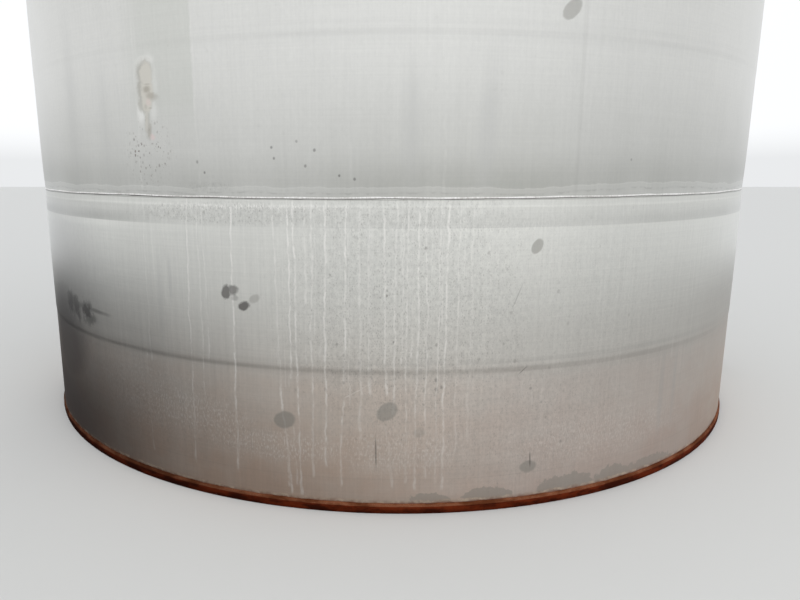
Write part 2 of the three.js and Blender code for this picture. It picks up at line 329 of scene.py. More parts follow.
def lattice_noise(points: Array, cell: float, seed: int) -> Array:
    """Value noise: random values at the corners of cubes, blended smoothly between them.

    Args:
        points: Places, with the coordinates in the last axis.
        cell: Side of a cube.
        seed: Seed of the values.

    Returns:
        Values from -1 to 1.
    """
    size = 48
    table = np.random.default_rng(seed).uniform(-1.0, 1.0, (size, size, size))
    whole = np.floor(points / cell).astype(int)
    part = smooth_step(points / cell - whole, 0.0, 1.0)
    total = np.zeros(points.shape[:-1])
    for corner in np.ndindex(2, 2, 2):
        index = (whole + corner) % size
        weight = np.prod(np.where(np.array(corner) == 1, part, 1 - part), axis=-1)
        total += weight * table[index[..., 0], index[..., 1], index[..., 2]]
    return total


def ray_reach(outline: Array, rays: Array) -> Array:
    """Distance from the origin to a closed outline round it, along each ray.

    Ray t d meets side p + s e where t = (p x e) / (d x e) and s = (p x d) / (d x e). The nearest
    meeting with s from 0 to 1 counts.

    Args:
        outline: Corners of the outline.
        rays: Unit vectors.

    Returns:
        One distance for each ray.
    """
    sides = np.roll(outline, -1, axis=0) - outline
    across = rays[:, None, 0] * sides[None, :, 1] - rays[:, None, 1] * sides[None, :, 0]
    across = np.where(np.abs(across) < 1e-12, 1e-12, across)
    start = outline[None, :, 0] * sides[None, :, 1] - outline[None, :, 1] * sides[None, :, 0]
    share = outline[None, :, 0] * rays[:, None, 1] - outline[None, :, 1] * rays[:, None, 0]
    distance, place = start / across, share / across
    good = (distance > 0) & (place >= -1e-9) & (place <= 1 + 1e-9)
    return np.where(good, distance, np.inf).min(axis=1)


@dataclass(frozen=True)
class Place:
    """Where a fitting stands: its local X, Y and Z as tank directions, and its origin."""

    origin: Triple
    right: Triple
    up: Triple
    out: Triple

    @classmethod
    def radial(cls, degrees: float, height: float) -> "Place":
        """A fitting on the shell, whose local Z points straight out and starts at the axis."""
        out, right = directions(math.radians(degrees))
        return cls((0.0, 0.0, height), tuple(right), (0.0, 0.0, 1.0), tuple(out))

    @classmethod
    def upright(cls, degrees: float, distance: float) -> "Place":
        """A fitting on the roof, whose local Z points up and starts at ground level."""
        origin = directions(math.radians(degrees))[0] * distance
        return cls(tuple(origin), (1.0, 0.0, 0.0), (0.0, 1.0, 0.0), (0.0, 0.0, 1.0))

    def to_tank(self, points: Array) -> Array:
        """Local places as tank places: origin + x right + y up + z out."""
        return np.array(self.origin) + points @ np.array([self.right, self.up, self.out])


@dataclass
class Skin:
    """Grids gathered into the mesh of one piece."""

    points: list[Array] = field(default_factory=list)
    faces: list[list[int]] = field(default_factory=list)
    count: int = 0

    def add(self, grid: Array, ring: bool = True, profile: bool = True) -> "Skin":
        """Adds the faces between the points of a grid.

        Args:
            grid: Stations by profile points.
            ring: True where the last station joins the first. Otherwise both ends get a face.
            profile: True where the profile is closed. Otherwise it starts and ends on the axis.

        Returns:
            The skin itself.
        """
        stations, width = grid.shape[:2]
        i = np.arange(stations if ring else stations - 1)
        j = np.arange(width if profile else width - 1)
        i, j = (axis.ravel() for axis in np.meshgrid(i, j, indexing="ij"))
        i_next = (i + 1) % stations
        j_next = (j + 1) % width
        corners = [i * width + j, i_next * width + j, i_next * width + j_next, i * width + j_next]
        self.faces += (np.stack(corners, axis=1) + self.count).tolist()
        if not ring:
            start = np.arange(width) + self.count
            self.faces += [start.tolist(), (start + (stations - 1) * width)[::-1].tolist()]
        self.points.append(grid.reshape(-1, 3))
        self.count += stations * width
        return self

    def add_round(self, grid: Array, count: int, ring: bool = True, profile: bool = True) -> "Skin":
        """Adds copies of a grid, spread evenly round the local Z axis."""
        for number in range(count):
            self.add(grid @ spin(number * TURN / count), ring, profile)
        return self

    def to_object(self, name: str, place: Place | None = None, crease: float = 38.0) -> Object:
        """Makes the piece.

        Doubles are merged, which closes poles, and the normals are recalculated to point outwards.

        Args:
            name: Name of the piece.
            place: Where a piece made in local coordinates stands.
            crease: Angle in degrees from which an edge between faces is sharp.

        Returns:
            The new object, at the origin.
        """
        points = np.vstack(self.points)
        if place is not None:
            points = place.to_tank(points)
        mesh = bpy.data.meshes.new(name)
        mesh.from_pydata(points.tolist(), [], self.faces)
        work = bmesh.new()
        work.from_mesh(mesh)
        bmesh.ops.remove_doubles(work, verts=work.verts, dist=1e-6)
        bmesh.ops.recalc_face_normals(work, faces=work.faces)
        work.to_mesh(mesh)
        work.free()
        shade(mesh, crease)
        piece = bpy.data.objects.new(name, mesh)
        bpy.context.scene.collection.objects.link(piece)
        return piece


def shade(mesh: bpy.types.Mesh, crease: float = 38.0) -> None:
    """Smooth faces, with sharp edges from an angle in degrees."""
    mesh.polygons.foreach_set("use_smooth", np.ones(len(mesh.polygons), dtype=bool))
    mesh.set_sharp_from_angle(angle=math.radians(crease))


def punched(piece: Object, holes: Sequence[Object]) -> Object:
    """Cuts holes in a piece and deletes their cutters.

    Args:
        piece: The piece, which keeps its name.
        holes: Closed cutters.

    Returns:
        The piece, without a modifier.
    """
    for hole in holes:
        cut = piece.modifiers.new("hole", "BOOLEAN")
        cut.object = hole
        cut.operation = "DIFFERENCE"
        cut.solver = "EXACT"
    depsgraph = bpy.context.evaluated_depsgraph_get()
    mesh = bpy.data.meshes.new_from_object(piece.evaluated_get(depsgraph))
    piece.modifiers.clear()
    piece.data = mesh
    shade(mesh)
    for hole in holes:
        bpy.data.objects.remove(hole, do_unlink=True)
    return piece


def plug(place: Place, radius: float, low: float, high: float) -> Object:
    """A closed round cutter along a place's local Z."""
    profile = np.array([[0.0, low], [radius, low], [radius, high], [0.0, high]])
    return Skin().add(turned(profile, 96), profile=False).to_object("cutter", place)


# Materials: a small writer of node trees, the effects that finishes share, and the finishes


@dataclass(frozen=True)
class Signal:
    """A number, colour or vector in a node tree. Its operators write the nodes that work on it."""

    graph: "Graph"
    socket: Socket

    def __add__(self, other: "Value") -> "Signal":
        """Sum."""
        return self.graph.math("ADD", self, other)

    def __radd__(self, other: float) -> "Signal":
        """Sum with a number before it."""
        return self.graph.math("ADD", other, self)

    def __sub__(self, other: "Value") -> "Signal":
        """Difference."""
        return self.graph.math("SUBTRACT", self, other)

    def __rsub__(self, other: float) -> "Signal":
        """Difference from a number."""
        return self.graph.math("SUBTRACT", other, self)

    def __mul__(self, other: "Value") -> "Signal":
        """Product."""
        return self.graph.math("MULTIPLY", self, other)

    def __rmul__(self, other: float) -> "Signal":
        """Product with a number before it."""
        return self.graph.math("MULTIPLY", other, self)

    def __truediv__(self, other: "Value") -> "Signal":
        """Quotient."""
        return self.graph.math("DIVIDE", self, other)

    def __mod__(self, other: "Value") -> "Signal":
        """Rest of a division."""
        return self.graph.math("MODULO", self, other)

    def __pow__(self, other: "Value") -> "Signal":
        """Power."""
        return self.graph.math("POWER", self, other)

    def __abs__(self) -> "Signal":
        """Size without its sign."""
        return self.graph.math("ABSOLUTE", self)

    def span(self, low: "Value", high: "Value", start: "Value" = 0.0, end: "Value" = 1.0) -> "Signal":
        """Goes smoothly from start, at a low value, to end, at a high one."""
        inputs = {"Value": self, "From Min": low, "From Max": high, "To Min": start, "To Max": end}
        return self.graph.step("ShaderNodeMapRange", inputs, interpolation_type="SMOOTHSTEP")

    def window(self, low: "Value", risen: "Value", falling: "Value", high: "Value",
               amount: float = 1.0) -> "Signal":
        """Rises from 0 to an amount between two values, and falls to 0 again between two higher ones."""
        return self.span(low, risen, 0.0, amount) * self.span(falling, high, 1.0, 0.0)

    def strip(self, middle: float, reach: float, amount: float) -> "Signal":
        """An amount where the value is at a middle, which fades to 0 at a reach from it."""
        return abs(self - middle).span(reach * 0.3, reach, amount, 0.0)


Value = Signal | float


@dataclass
class Graph:
    """Writes nodes into a tree."""

    tree: NodeTree

    def feed(self, socket: Socket, value: object) -> None:
        """Links a signal to an input, or sets the input to a number or colour.

        Args:
            socket: The input.
            value: What goes into it.
        """
        if isinstance(value, Signal):
            self.tree.links.new(value.socket, socket)
        elif isinstance(value, tuple) and socket.type == "RGBA":
            socket.default_value = (*value, 1.0)
        else:
            socket.default_value = value

    def node(self, kind: str, inputs: dict[int | str, object], **settings: object) -> list[Signal]:
        """Writes one node.

        Args:
            kind: Its type.
            inputs: What goes into its sockets, by their name or number.
            settings: Its other properties.

        Returns:
            Everything that comes out of it.
        """
        node = self.tree.nodes.new(kind)
        for name, value in settings.items():
            setattr(node, name, value)
        for key, value in inputs.items():
            self.feed(node.inputs[key], value)
        return [Signal(self, socket) for socket in node.outputs]

    def step(self, kind: str, inputs: dict[int | str, object], output: str = "",
             **settings: object) -> Signal:
        """Writes one node and gives its first output, or the one of a name."""
        outputs = self.node(kind, inputs, **settings)
        return next(signal for signal in outputs if output in ("", signal.socket.name))

    def math(self, operation: str, *values: Value) -> Signal:
        """One step of arithmetic."""
        return self.step("ShaderNodeMath", dict(enumerate(values)), operation=operation)

    def length(self, x: Signal, y: Signal) -> Signal:
        """Length of a flat vector."""
        return self.math("SQRT", x ** 2.0 + y ** 2.0)

    def most(self, values: Iterable[Value]) -> Value:
        """The largest of some numbers, and at least 0."""
        return reduce(lambda one, other: self.math("MAXIMUM", one, other), values, 0.0)

    def mix(self, amount: Value, first: object, second: object) -> Signal:
        """A colour between two, by an amount from 0 to 1."""
        return self.node("ShaderNodeMix", {0: amount, 6: first, 7: second}, data_type="RGBA")[2]

    def tint(self, colour: object, factor: Value) -> Signal:
        """A colour times a number."""
        return self.step("ShaderNodeVectorMath", {0: colour, "Scale": factor}, operation="SCALE")

    def place(self) -> Signal:
        """Object coordinates, which are the tank's own."""
        return self.step("ShaderNodeTexCoord", {}, "Object")

    def vector(self, *values: Value) -> Signal:
        """Three numbers as a vector."""
        return self.step("ShaderNodeCombineXYZ", dict(enumerate(values)))

    def parts(self, vector: Signal) -> list[Signal]:
        """The three numbers of a vector or colour."""
        return self.node("ShaderNodeSeparateXYZ", {0: vector})

    def noise(self, place: Signal, stretch: Triple, detail: float = 2.0, roughness: float = 0.5) -> Signal:
        """Noise from 0 to 1, with its own frequency along each axis."""
        scaled = self.step("ShaderNodeVectorMath", {0: place, 1: stretch}, operation="MULTIPLY")
        inputs = {"Vector": scaled, "Scale": 1.0, "Detail": detail, "Roughness": roughness}
        return self.step("ShaderNodeTexNoise", inputs)

    def bump(self, height: Signal, distance: float, strength: float) -> Signal:
        """The normal of a relief from 0 to 1, with its real height and how strongly it shows."""
        return self.step("ShaderNodeBump", {"Height": height, "Distance": distance, "Strength": strength})

    def group(self, tree: NodeTree, **values: object) -> list[Signal]:
        """Outputs of a node group with its inputs set. An underscore in a name stands for a space."""
        inputs = {name.replace("_", " "): value for name, value in values.items()}
        return self.node("ShaderNodeGroup", inputs, node_tree=tree)


class GroupWriter(Graph):
    """Writes a node group whose inputs and outputs are plain numbers."""

    def __init__(self, name: str, outputs: Sequence[str], **inputs: float) -> None:
        """Makes the group.

        Args:
            name: Its name.
            outputs: Names of its outputs.
            inputs: Default of each input. An underscore in a name stands for a space.
        """
        super().__init__(bpy.data.node_groups.new(name, "ShaderNodeTree"))
        for label, default in inputs.items():
            self._socket(label.replace("_", " "), "INPUT").default_value = default
        for label in outputs:
            self._socket(label, "OUTPUT")
        self.read = self.node("NodeGroupInput", {})[:len(inputs)]

    def _socket(self, label: str, side: str) -> bpy.types.NodeTreeInterfaceSocket:
        """A new socket of the group."""
        return self.tree.interface.new_socket(name=label, in_out=side, socket_type="NodeSocketFloat")

    def done(self, *values: Value) -> NodeTree:
        """Feeds the outputs, in their order, and gives the group."""
        self.node("NodeGroupOutput", dict(enumerate(values)))
        return self.tree


class Effects:
    """The node groups that the finishes share, each built once."""

    def __init__(self, form: TankForm) -> None:
        """Builds the groups for a tank's sizes.

        Args:
            form: Sizes of the tank.
        """
        self.form = form
        self.wrap = self._wrap()
        self.grain = self._grain()
        self.mark = self._mark()
        self.run = self._run()
        self.runs = self._runs()
        self.speckle = self._speckle()
        self.clouds = self._clouds()
        self.rust = self._rust()

    def _wrap(self) -> NodeTree:
        """Length round the shell from its front line, and height, as on a plate laid flat.

        Fold is the length too, but runs back to 0 from the sides to the back, where it has no jump.

        Returns:
            The group.
        """
        graph = GroupWriter("tank_wrap", ("Arc", "Height", "Fold"))
        x, y, z = graph.parts(graph.place())
        angle = graph.math("ARCTAN2", x, y * -1.0)
        fold = graph.math("ARCSINE", graph.math("SINE", angle))
        return graph.done(angle * self.form.radius, z, fold * self.form.radius)

    def _grain(self) -> NodeTree:
        """Fine brushing up and down and round the tank: a tone from -1 to 1 and a bump height.

        Returns:
            The group.
        """
        graph = GroupWriter("brushed_grain", ("Tone", "Height"), Upright=0.5)
        [weight] = graph.read
        place = graph.place()
        upright = graph.noise(place, (105.0, 105.0, 2.6), 3.0, 0.65)
        level = graph.noise(place, (2.2, 2.2, 150.0), 3.0, 0.65)
        both = upright * weight + level * (1.0 - weight)
        return graph.done((both - 0.5) * 4.0, both)

    def _mark(self) -> NodeTree:
        """A mark on the plate: 1 inside a tilted ellipse whose edge wavers, 0 outside.

        Rough is a noise from -0.5 to 0.5, which all marks share, and Waver says how far it moves the
        edge, as a share of the ellipse's size.

        Returns:
            The group.
        """
        graph = GroupWriter("plate_mark", ("Mask",), Arc=0.0, Height=0.0, Rough=0.0, Along=0.0, Up=0.0,
                            Half_Width=0.04, Half_Height=0.025, Tilt=0.0, Softness=0.3, Waver=0.3)
        arc, height, rough, along, up, half_width, half_height, tilt, softness, waver = graph.read
        across = arc - along
        rise = height - up
        c = graph.math("COSINE", tilt)
        s = graph.math("SINE", tilt)
        first = (across * c + rise * s) / half_width
        second = (rise * c - across * s) / half_height
        distance = graph.length(first, second) + rough * waver
        return graph.done(distance.span(1.0 - softness, 1.0 + softness, 1.0, 0.0))

    def _run(self) -> NodeTree:
        """One water run: a thin line down the plate that ends in a brighter tip.

        Returns:
            The group.
        """
        graph = GroupWriter("water_run", ("Mask",), Arc=0.0, Height=0.0, Along=0.0, Slant=0.0, Top=1.25,
                            Bottom=0.3, Width=0.006)
        arc, height, along, slant, top, bottom, width = graph.read
        drop = top - height
        above = height - bottom
        tip = above.span(0.0, 0.15, 1.0, 0.0)
        aside = abs(arc - (along + drop * slant))
        line = (aside / (width * (1.0 + tip * 0.5))).span(0.25, 1.0, 1.0, 0.0)
        inside = above.span(-0.01, 0.01) * drop.span(-0.004, 0.03)
        return graph.done(line * inside * (0.75 + tip * 0.25))

    def _runs(self) -> NodeTree:
        """Many water runs, one at most in each upright strip of the plate.

        A strip's number gives random numbers: whether it has a run, how far down the run reaches,
        where in the strip it lies, how wide it is and how strong.

        Returns:
            The group.
        """
        graph = GroupWriter("water_runs", ("Mask",), Arc=0.0, Height=0.0, Strip=0.04, Share=0.5, Top=1.25,
                            Longest=1.0, Width=0.006, Seed=0.0)
        arc, height, strip, share, top, longest, width, seed = graph.read
        strips = arc / strip
        number = graph.math("FLOOR", strips)
        drawn = [graph.step("ShaderNodeTexWhiteNoise", {"Vector": graph.vector(number, float(index), seed)},
                            noise_dimensions="3D") for index in range(1, 6)]
        present, long, shift, thick, strong = drawn
        drop = top - height
        above = height - (top - longest * long ** 0.5)
        tip = above.span(0.0, 0.14, 1.0, 0.0)
        aside = abs(graph.math("FRACT", strips) - (0.25 + shift * 0.5)) * strip
        reach = (0.5 + thick) * width * (1.0 + tip * 0.4)
        line = (aside / reach).span(0.25, 1.0, 1.0, 0.0)
        inside = above.span(-0.01, 0.01) * drop.span(-0.004, 0.03)
        strength = strong * 0.65 + tip * 0.35
        return graph.done(line * inside * strength * graph.math("LESS_THAN", present, share))

    def _speckle(self) -> NodeTree:
        """Small ragged pits: the middles of scattered cells, fewer or more by a share.

        Returns:
            The group.
        """
        graph = GroupWriter("pit_speckle", ("Mask",), Scale=60.0, Share=0.5, Size=0.3, Tall=0.6)
        scale, share, size, tall = graph.read
        stretch = graph.vector(scale, scale, scale * tall)
        place = graph.step("ShaderNodeVectorMath", {0: graph.place(), 1: stretch}, operation="MULTIPLY")
        cells = graph.node("ShaderNodeTexVoronoi", {"Vector": place, "Scale": 1.0}, feature="F1")
        distance, colour = cells[:2]
        kept, large, deep = graph.parts(colour)
        ragged = graph.noise(graph.place(), (310.0, 310.0, 240.0), 1.0)
        reach = size * (0.3 + large) * (0.2 + ragged * 1.6)
        mask = graph.math("LESS_THAN", kept, share) * (distance / reach).span(0.5, 1.1, 1.0, 0.0)
        return graph.done(mask * (0.4 + deep * 0.6))

    def _clouds(self) -> NodeTree:
        """Soft blotches in two sizes, from -1 to 1.

        Returns:
            The group.
        """
        graph = GroupWriter("dull_clouds", ("Tone",), Detail=0.5)
        [detail] = graph.read
        place = graph.place()
        wide = graph.noise(place, (1.3, 1.3, 0.8), 3.0, 0.5) - 0.5
        small = graph.noise(place, (9.0, 9.0, 6.0), 4.0, 0.6) - 0.5
        return graph.done((wide + small * detail) * 3.0)

    def _rust(self) -> NodeTree:
        """Scaly rust: a patch value from 0 to 1, a fine grit from 0 to 1 and a bump height.

        Returns:
            The group.
        """
        graph = GroupWriter("scaly_rust", ("Patch", "Grit", "Height"))
        place = graph.place()
        wide = graph.noise(place, (7.0, 7.0, 22.0), 5.0, 0.62)
        scales = graph.noise(place, (60.0, 60.0, 110.0), 5.0, 0.65)
        grit = graph.noise(place, (320.0, 320.0, 420.0), 3.0, 0.6)
        return graph.done(wide.span(0.32, 0.68), grit, scales * 0.75 + grit * 0.25)


@dataclass(frozen=True)
class Mark:
    """A mark on the shell, as an ellipse on the plate laid flat."""

    along: float  # arc length of its middle
    up: float  # height of its middle
    half_width: float
    half_height: float
    depth: float = 0.5  # how strongly it shows
    tilt: float = 0.0  # in degrees
    softness: float = 0.14  # how soft its edge is
    waver: float = 0.3  # how far its edge wavers


@dataclass(frozen=True)
class Run:
    """A water run on the shell."""

    along: float  # arc length where it starts
    end: float  # arc length where it ends
    bottom: float  # height where it ends
    strength: float = 0.6
    width: float = 0.0055  # half of its width
    top: float = 1.252  # height where it starts


def marks(*rows: Sequence[float]) -> tuple[Mark, ...]:
    """Marks from rows of their fields."""
    return tuple(Mark(*row) for row in rows)


@dataclass(frozen=True)
class PlateMarks:
    """The marks of one part of the shell."""

    deep: tuple[Mark, ...] = ()  # dark spots and smudges
    dull: tuple[Mark, ...] = ()  # grey spots
    damp: tuple[Mark, ...] = ()  # damp patches over the foot ring
    painted_shade_streaks: tuple[Mark, ...] = ()  # soft upright streaks of painted shade
    pitted: tuple[Mark, ...] = ()  # areas with dark pits
    crusted: tuple[Mark, ...] = ()  # areas with pale crust
    painted_shade: tuple[Mark, ...] = ()  # areas of painted dark shade
    painted_light: tuple[Mark, ...] = ()  # areas of painted light, a little brighter
    runs: tuple[Run, ...] = ()
    stained: bool = False  # True where the drip stain is


@dataclass(frozen=True)
class Laid:
    """The shell's plates laid flat, as a finish sees them."""

    graph: Graph
    effects: Effects
    arc: Signal  # length round the shell from its front line
    height: Signal
    fold: Signal  # the same length, folded at the sides so that it has no jump at the back
    rough: Signal  # noise from -0.5 to 0.5

    @classmethod
    def over(cls, graph: Graph, effects: Effects) -> "Laid":
        """Lays the plates flat in a material."""
        rough = graph.noise(graph.place(), (36.0, 36.0, 36.0), 4.0, 0.6) - 0.5
        return cls(graph, effects, *graph.group(effects.wrap), rough)

    @property
    def rise(self) -> Signal:
        """Height over the foot of the course."""
        return (self.height - self.effects.form.foot) % self.effects.form.course_height

    @property
    def upper(self) -> Signal:
        """1 in the courses over the bottom one, 0 in the bottom one."""
        weld = self.effects.form.course_foot(2)
        return self.height.span(weld - 0.002, weld)

    def noise(self, along: Signal, stretch: Triple, detail: float, roughness: float) -> Signal:
        """Noise from 0 to 1 on a length round the shell and the height."""
        return self.graph.noise(self.graph.vector(along, 0.0, self.height), stretch, detail, roughness)

    def marked(self, places: Sequence[Mark]) -> Value:
        """All marks of one kind, the strongest where they overlap.

        Args:
            places: The marks.

        Returns:
            How strongly they show.
        """
        return self.graph.most(
            self.graph.group(self.effects.mark, Arc=self.arc, Height=self.height, Rough=self.rough,
                             Along=mark.along, Up=mark.up, Half_Width=mark.half_width,
                             Half_Height=mark.half_height, Tilt=math.radians(mark.tilt),
                             Softness=mark.softness, Waver=mark.waver)[0] * mark.depth
            for mark in places)


BOTTOM_MARKS = PlateMarks(
    deep=marks(
        (-0.643, 0.884, 0.018, 0.03, 0.72, -8.0, 0.25, 1.3),
        (-0.612, 0.893, 0.022, 0.021, 0.62, 20.0, 0.35, 1.3),
        (-0.566, 0.832, 0.022, 0.018, 0.78, 25.0, 0.3, 1.3),
        (-0.604, 0.862, 0.014, 0.011, 0.3, 0.0, 0.5, 1.0),
        (-1.745, 0.715, 0.046, 0.048, 0.74, 0.0, 0.55, 2.2),
        (-1.668, 0.704, 0.042, 0.056, 0.76, 30.0, 0.55, 2.0),
        (-1.54, 0.702, 0.056, 0.042, 0.84, -8.0, 0.5, 2.0),
        (-1.51, 0.664, 0.056, 0.024, 0.58, 14.0, 0.6, 1.6),
        (-1.455, 0.716, 0.105, 0.009, 0.5, -2.0, 0.7, 0.6), (-1.6, 0.722, 0.06, 0.014, 0.5, 6.0, 0.7, 1.6),
        (0.545, 0.583, 0.022, 0.0022, 0.45, 42.0, 0.5, 0.3),
        (0.505, 0.88, 0.05, 0.0022, 0.25, 68.0, 0.6, 0.5), (0.594, 0.2, 0.0035, 0.03, 0.55, 3.0, 0.4),
        (-0.039, 0.258, 0.0028, 0.062, 0.5, 1.0, 0.4, 0.6)),
    dull=marks(
        (-0.519, 0.863, 0.024, 0.015, 0.42, 25.0, 0.3), (-0.408, 0.375, 0.044, 0.035, 0.62, 18.0),
        (0.005, 0.431, 0.044, 0.033, 0.62, 42.0), (0.131, 0.344, 0.022, 0.02, 0.3, 20.0, 0.35),
        (0.577, 1.07, 0.031, 0.021, 0.64, 55.0), (0.587, 0.17, 0.036, 0.025, 0.62, 5.0, 0.2)),
    damp=marks(
        (0.175, 0.04, 0.09, 0.048, 0.46, 0.0, 0.06, 1.1), (0.415, 0.045, 0.105, 0.056, 0.5, 0.0, 0.05, 1.0),
        (0.77, 0.045, 0.145, 0.066, 0.5, 0.0, 0.045, 0.9),
        (1.02, 0.045, 0.115, 0.06, 0.48, 0.0, 0.045, 0.9), (1.26, 0.04, 0.19, 0.054, 0.44, -3.0, 0.045, 0.9)),
    pitted=marks(
        (0.1, 0.82, 0.44, 0.5, 0.8, 0.0, 0.5, 1.0), (0.55, 0.36, 0.5, 0.24, 0.55, 0.0, 0.6, 1.0),
        (0.7, 0.75, 0.5, 0.45, 0.28, 0.0, 0.7, 1.0), (-0.95, 0.34, 0.5, 0.16, 0.25, 0.0, 0.6, 1.0),
        (-0.62, 1.19, 0.42, 0.042, 0.95, 0.0, 0.35, 0.5), (0.0, 1.19, 0.45, 0.045, 0.75, 0.0, 0.4, 0.5)),
    # Painted shade: a broad soft patch on the far left, and soft upright streaks.
    painted_shade_streaks=marks(
        (-1.9, 0.93, 0.44, 0.28, 0.44, 0.0, 0.75, 0.4), (-1.6, 1.02, 0.012, 0.2, 0.24, 0.0, 0.7, 0.6),
        (-1.47, 1.03, 0.01, 0.17, 0.18, 0.0, 0.7, 0.6), (-0.915, 0.92, 0.008, 0.09, 0.3, 0.0, 0.6, 0.6),
        (-0.975, 0.8, 0.016, 0.16, 0.16, 0.0, 0.7, 0.6), (1.3, 0.38, 0.016, 0.18, 0.26, 0.0, 0.7, 0.6),
        (1.4, 0.4, 0.014, 0.16, 0.26, 0.0, 0.7, 0.6)),
    crusted=marks(
        (-0.86, 0.36, 0.3, 0.085, 0.36, -6.0, 0.5, 1.0), (-1.18, 0.4, 0.34, 0.18, 0.26, -4.0, 0.6, 1.0),
        (-0.45, 0.26, 0.3, 0.06, 0.34, 0.0, 0.5, 1.0), (0.05, 0.26, 0.25, 0.09, 0.28, 0.0, 0.6, 1.0),
        (0.95, 0.26, 0.45, 0.1, 0.24, 0.0, 0.6, 1.0), (-0.55, 1.218, 0.45, 0.012, 0.6, 0.0, 0.6, 0.8),
        (0.2, 1.15, 0.5, 0.03, 0.2, 0.0, 0.7, 0.8)),
    # Painted shade: dark patches low on the far left, where the shell shows a dark reflection.
    painted_shade=marks(
        (-2.02, 0.08, 0.7, 0.36, 0.74, 0.0, 0.75, 0.2), (-1.88, 0.48, 0.29, 0.28, 0.66, 0.0, 0.55, 0.3),
        (-1.8, 0.92, 0.34, 0.26, 0.18, 0.0, 0.75, 0.4)),
    # Painted light: patches made a little brighter where the plate shows more reflected light.
    painted_light=marks(
        (-1.27, 0.58, 0.15, 0.19, 0.095, 0.0, 0.7, 0.3), (-1.5, 1.132, 0.36, 0.013, 0.055, 0.0, 0.4, 0.3),
        (0.33, 0.09, 0.3, 0.055, 0.085, 0.0, 0.6, 0.3)),
    runs=(
        Run(-1.045, -1.052, 0.55, 0.3), Run(-1.082, -1.074, 0.13, 0.5, top=0.6),
        Run(-0.936, -0.94, 0.8, 0.16, 0.008), Run(-0.812, -0.832, 0.125, 0.62),
        Run(-0.762, -0.765, 0.42, 0.42, 0.0045), Run(-0.738, -0.736, 0.6, 0.38, 0.0045),
        Run(-0.609, -0.62, 0.125, 0.78, 0.006), Run(-0.437, -0.418, 0.47, 0.45),
        Run(-0.374, -0.373, 0.55, 0.72, 0.005), Run(-0.354, -0.342, 0.06, 0.8),
        Run(-0.42, -0.38, 0.062, 0.75, top=0.52), Run(-0.405, -0.392, 0.09, 0.6, 0.0045, 0.36),
        Run(-0.372, -0.356, 0.1, 0.55, 0.0045, 0.36), Run(-0.281, -0.292, 0.14, 0.55),
        Run(-0.229, -0.24, 0.19, 0.8, 0.006), Run(-0.152, -0.16, 0.55, 0.78, 0.0055),
        Run(-0.057, -0.167, 0.481, 0.34, 0.0045, 0.547), Run(-0.167, -0.18, 0.11, 0.68, 0.0055, 0.485),
        Run(-0.066, -0.066, 0.5, 0.4), Run(-0.012, 0.001, 0.5, 0.55),
        Run(-0.002, 0.028, 0.11, 0.5, top=0.38), Run(0.035, 0.03, 0.42, 0.5),
        Run(0.075, 0.08, 0.13, 0.5, 0.005), Run(0.119, 0.117, 0.1, 0.62, 0.0055),
        Run(0.146, 0.158, 0.15, 0.48, 0.0045), Run(0.2, 0.196, 0.12, 0.45, 0.0045),
        Run(0.229, 0.224, 0.1, 0.66, 0.006), Run(0.323, 0.32, 0.3, 0.28)))

SECOND_MARKS = PlateMarks(
    dull=marks((0.666, 1.915, 0.044, 0.027, 0.56, 42.0)),
    # Painted shade: soft upright streaks on the second course.
    painted_shade_streaks=marks(
        (0.085, 1.52, 0.03, 0.17, 0.3, 0.0, 0.9, 0.5), (0.365, 1.52, 0.032, 0.19, 0.32, -3.0, 0.9, 0.5),
        (-1.52, 1.6, 0.05, 0.3, 0.24, 0.0, 0.9, 0.5), (-1.25, 1.52, 0.03, 0.22, 0.18, 0.0, 0.9, 0.5)),
    deep=tuple(Mark(along, up, 0.0048, 0.0055, depth, 0.0, 0.45, 1.0) for along, up, depth in (
        (-0.43, 1.436, 0.5), (-0.421, 1.397, 0.55), (-0.301, 1.369, 0.45), (-0.266, 1.425, 0.5),
        (-0.333, 1.457, 0.35), (-0.714, 1.345, 0.55), (-0.175, 1.334, 0.6), (-0.119, 1.322, 0.5),
        (-0.745, 1.385, 0.4), (0.985, 1.392, 0.35))),
    pitted=marks((-0.7, 1.29, 0.1, 0.02, 0.5, 0.0, 0.4, 0.8)),
    runs=(Run(-1.036, -1.04, 1.28, 0.12, 0.007, 1.93), Run(-0.738, -0.738, 1.3, 0.09, 0.006, 1.93)),
    stained=True)


@dataclass(frozen=True)
class Layer:
    """One colour of the drip stain and the marks that it lies in."""

    colour: Triple
    marks: tuple[Mark, ...]


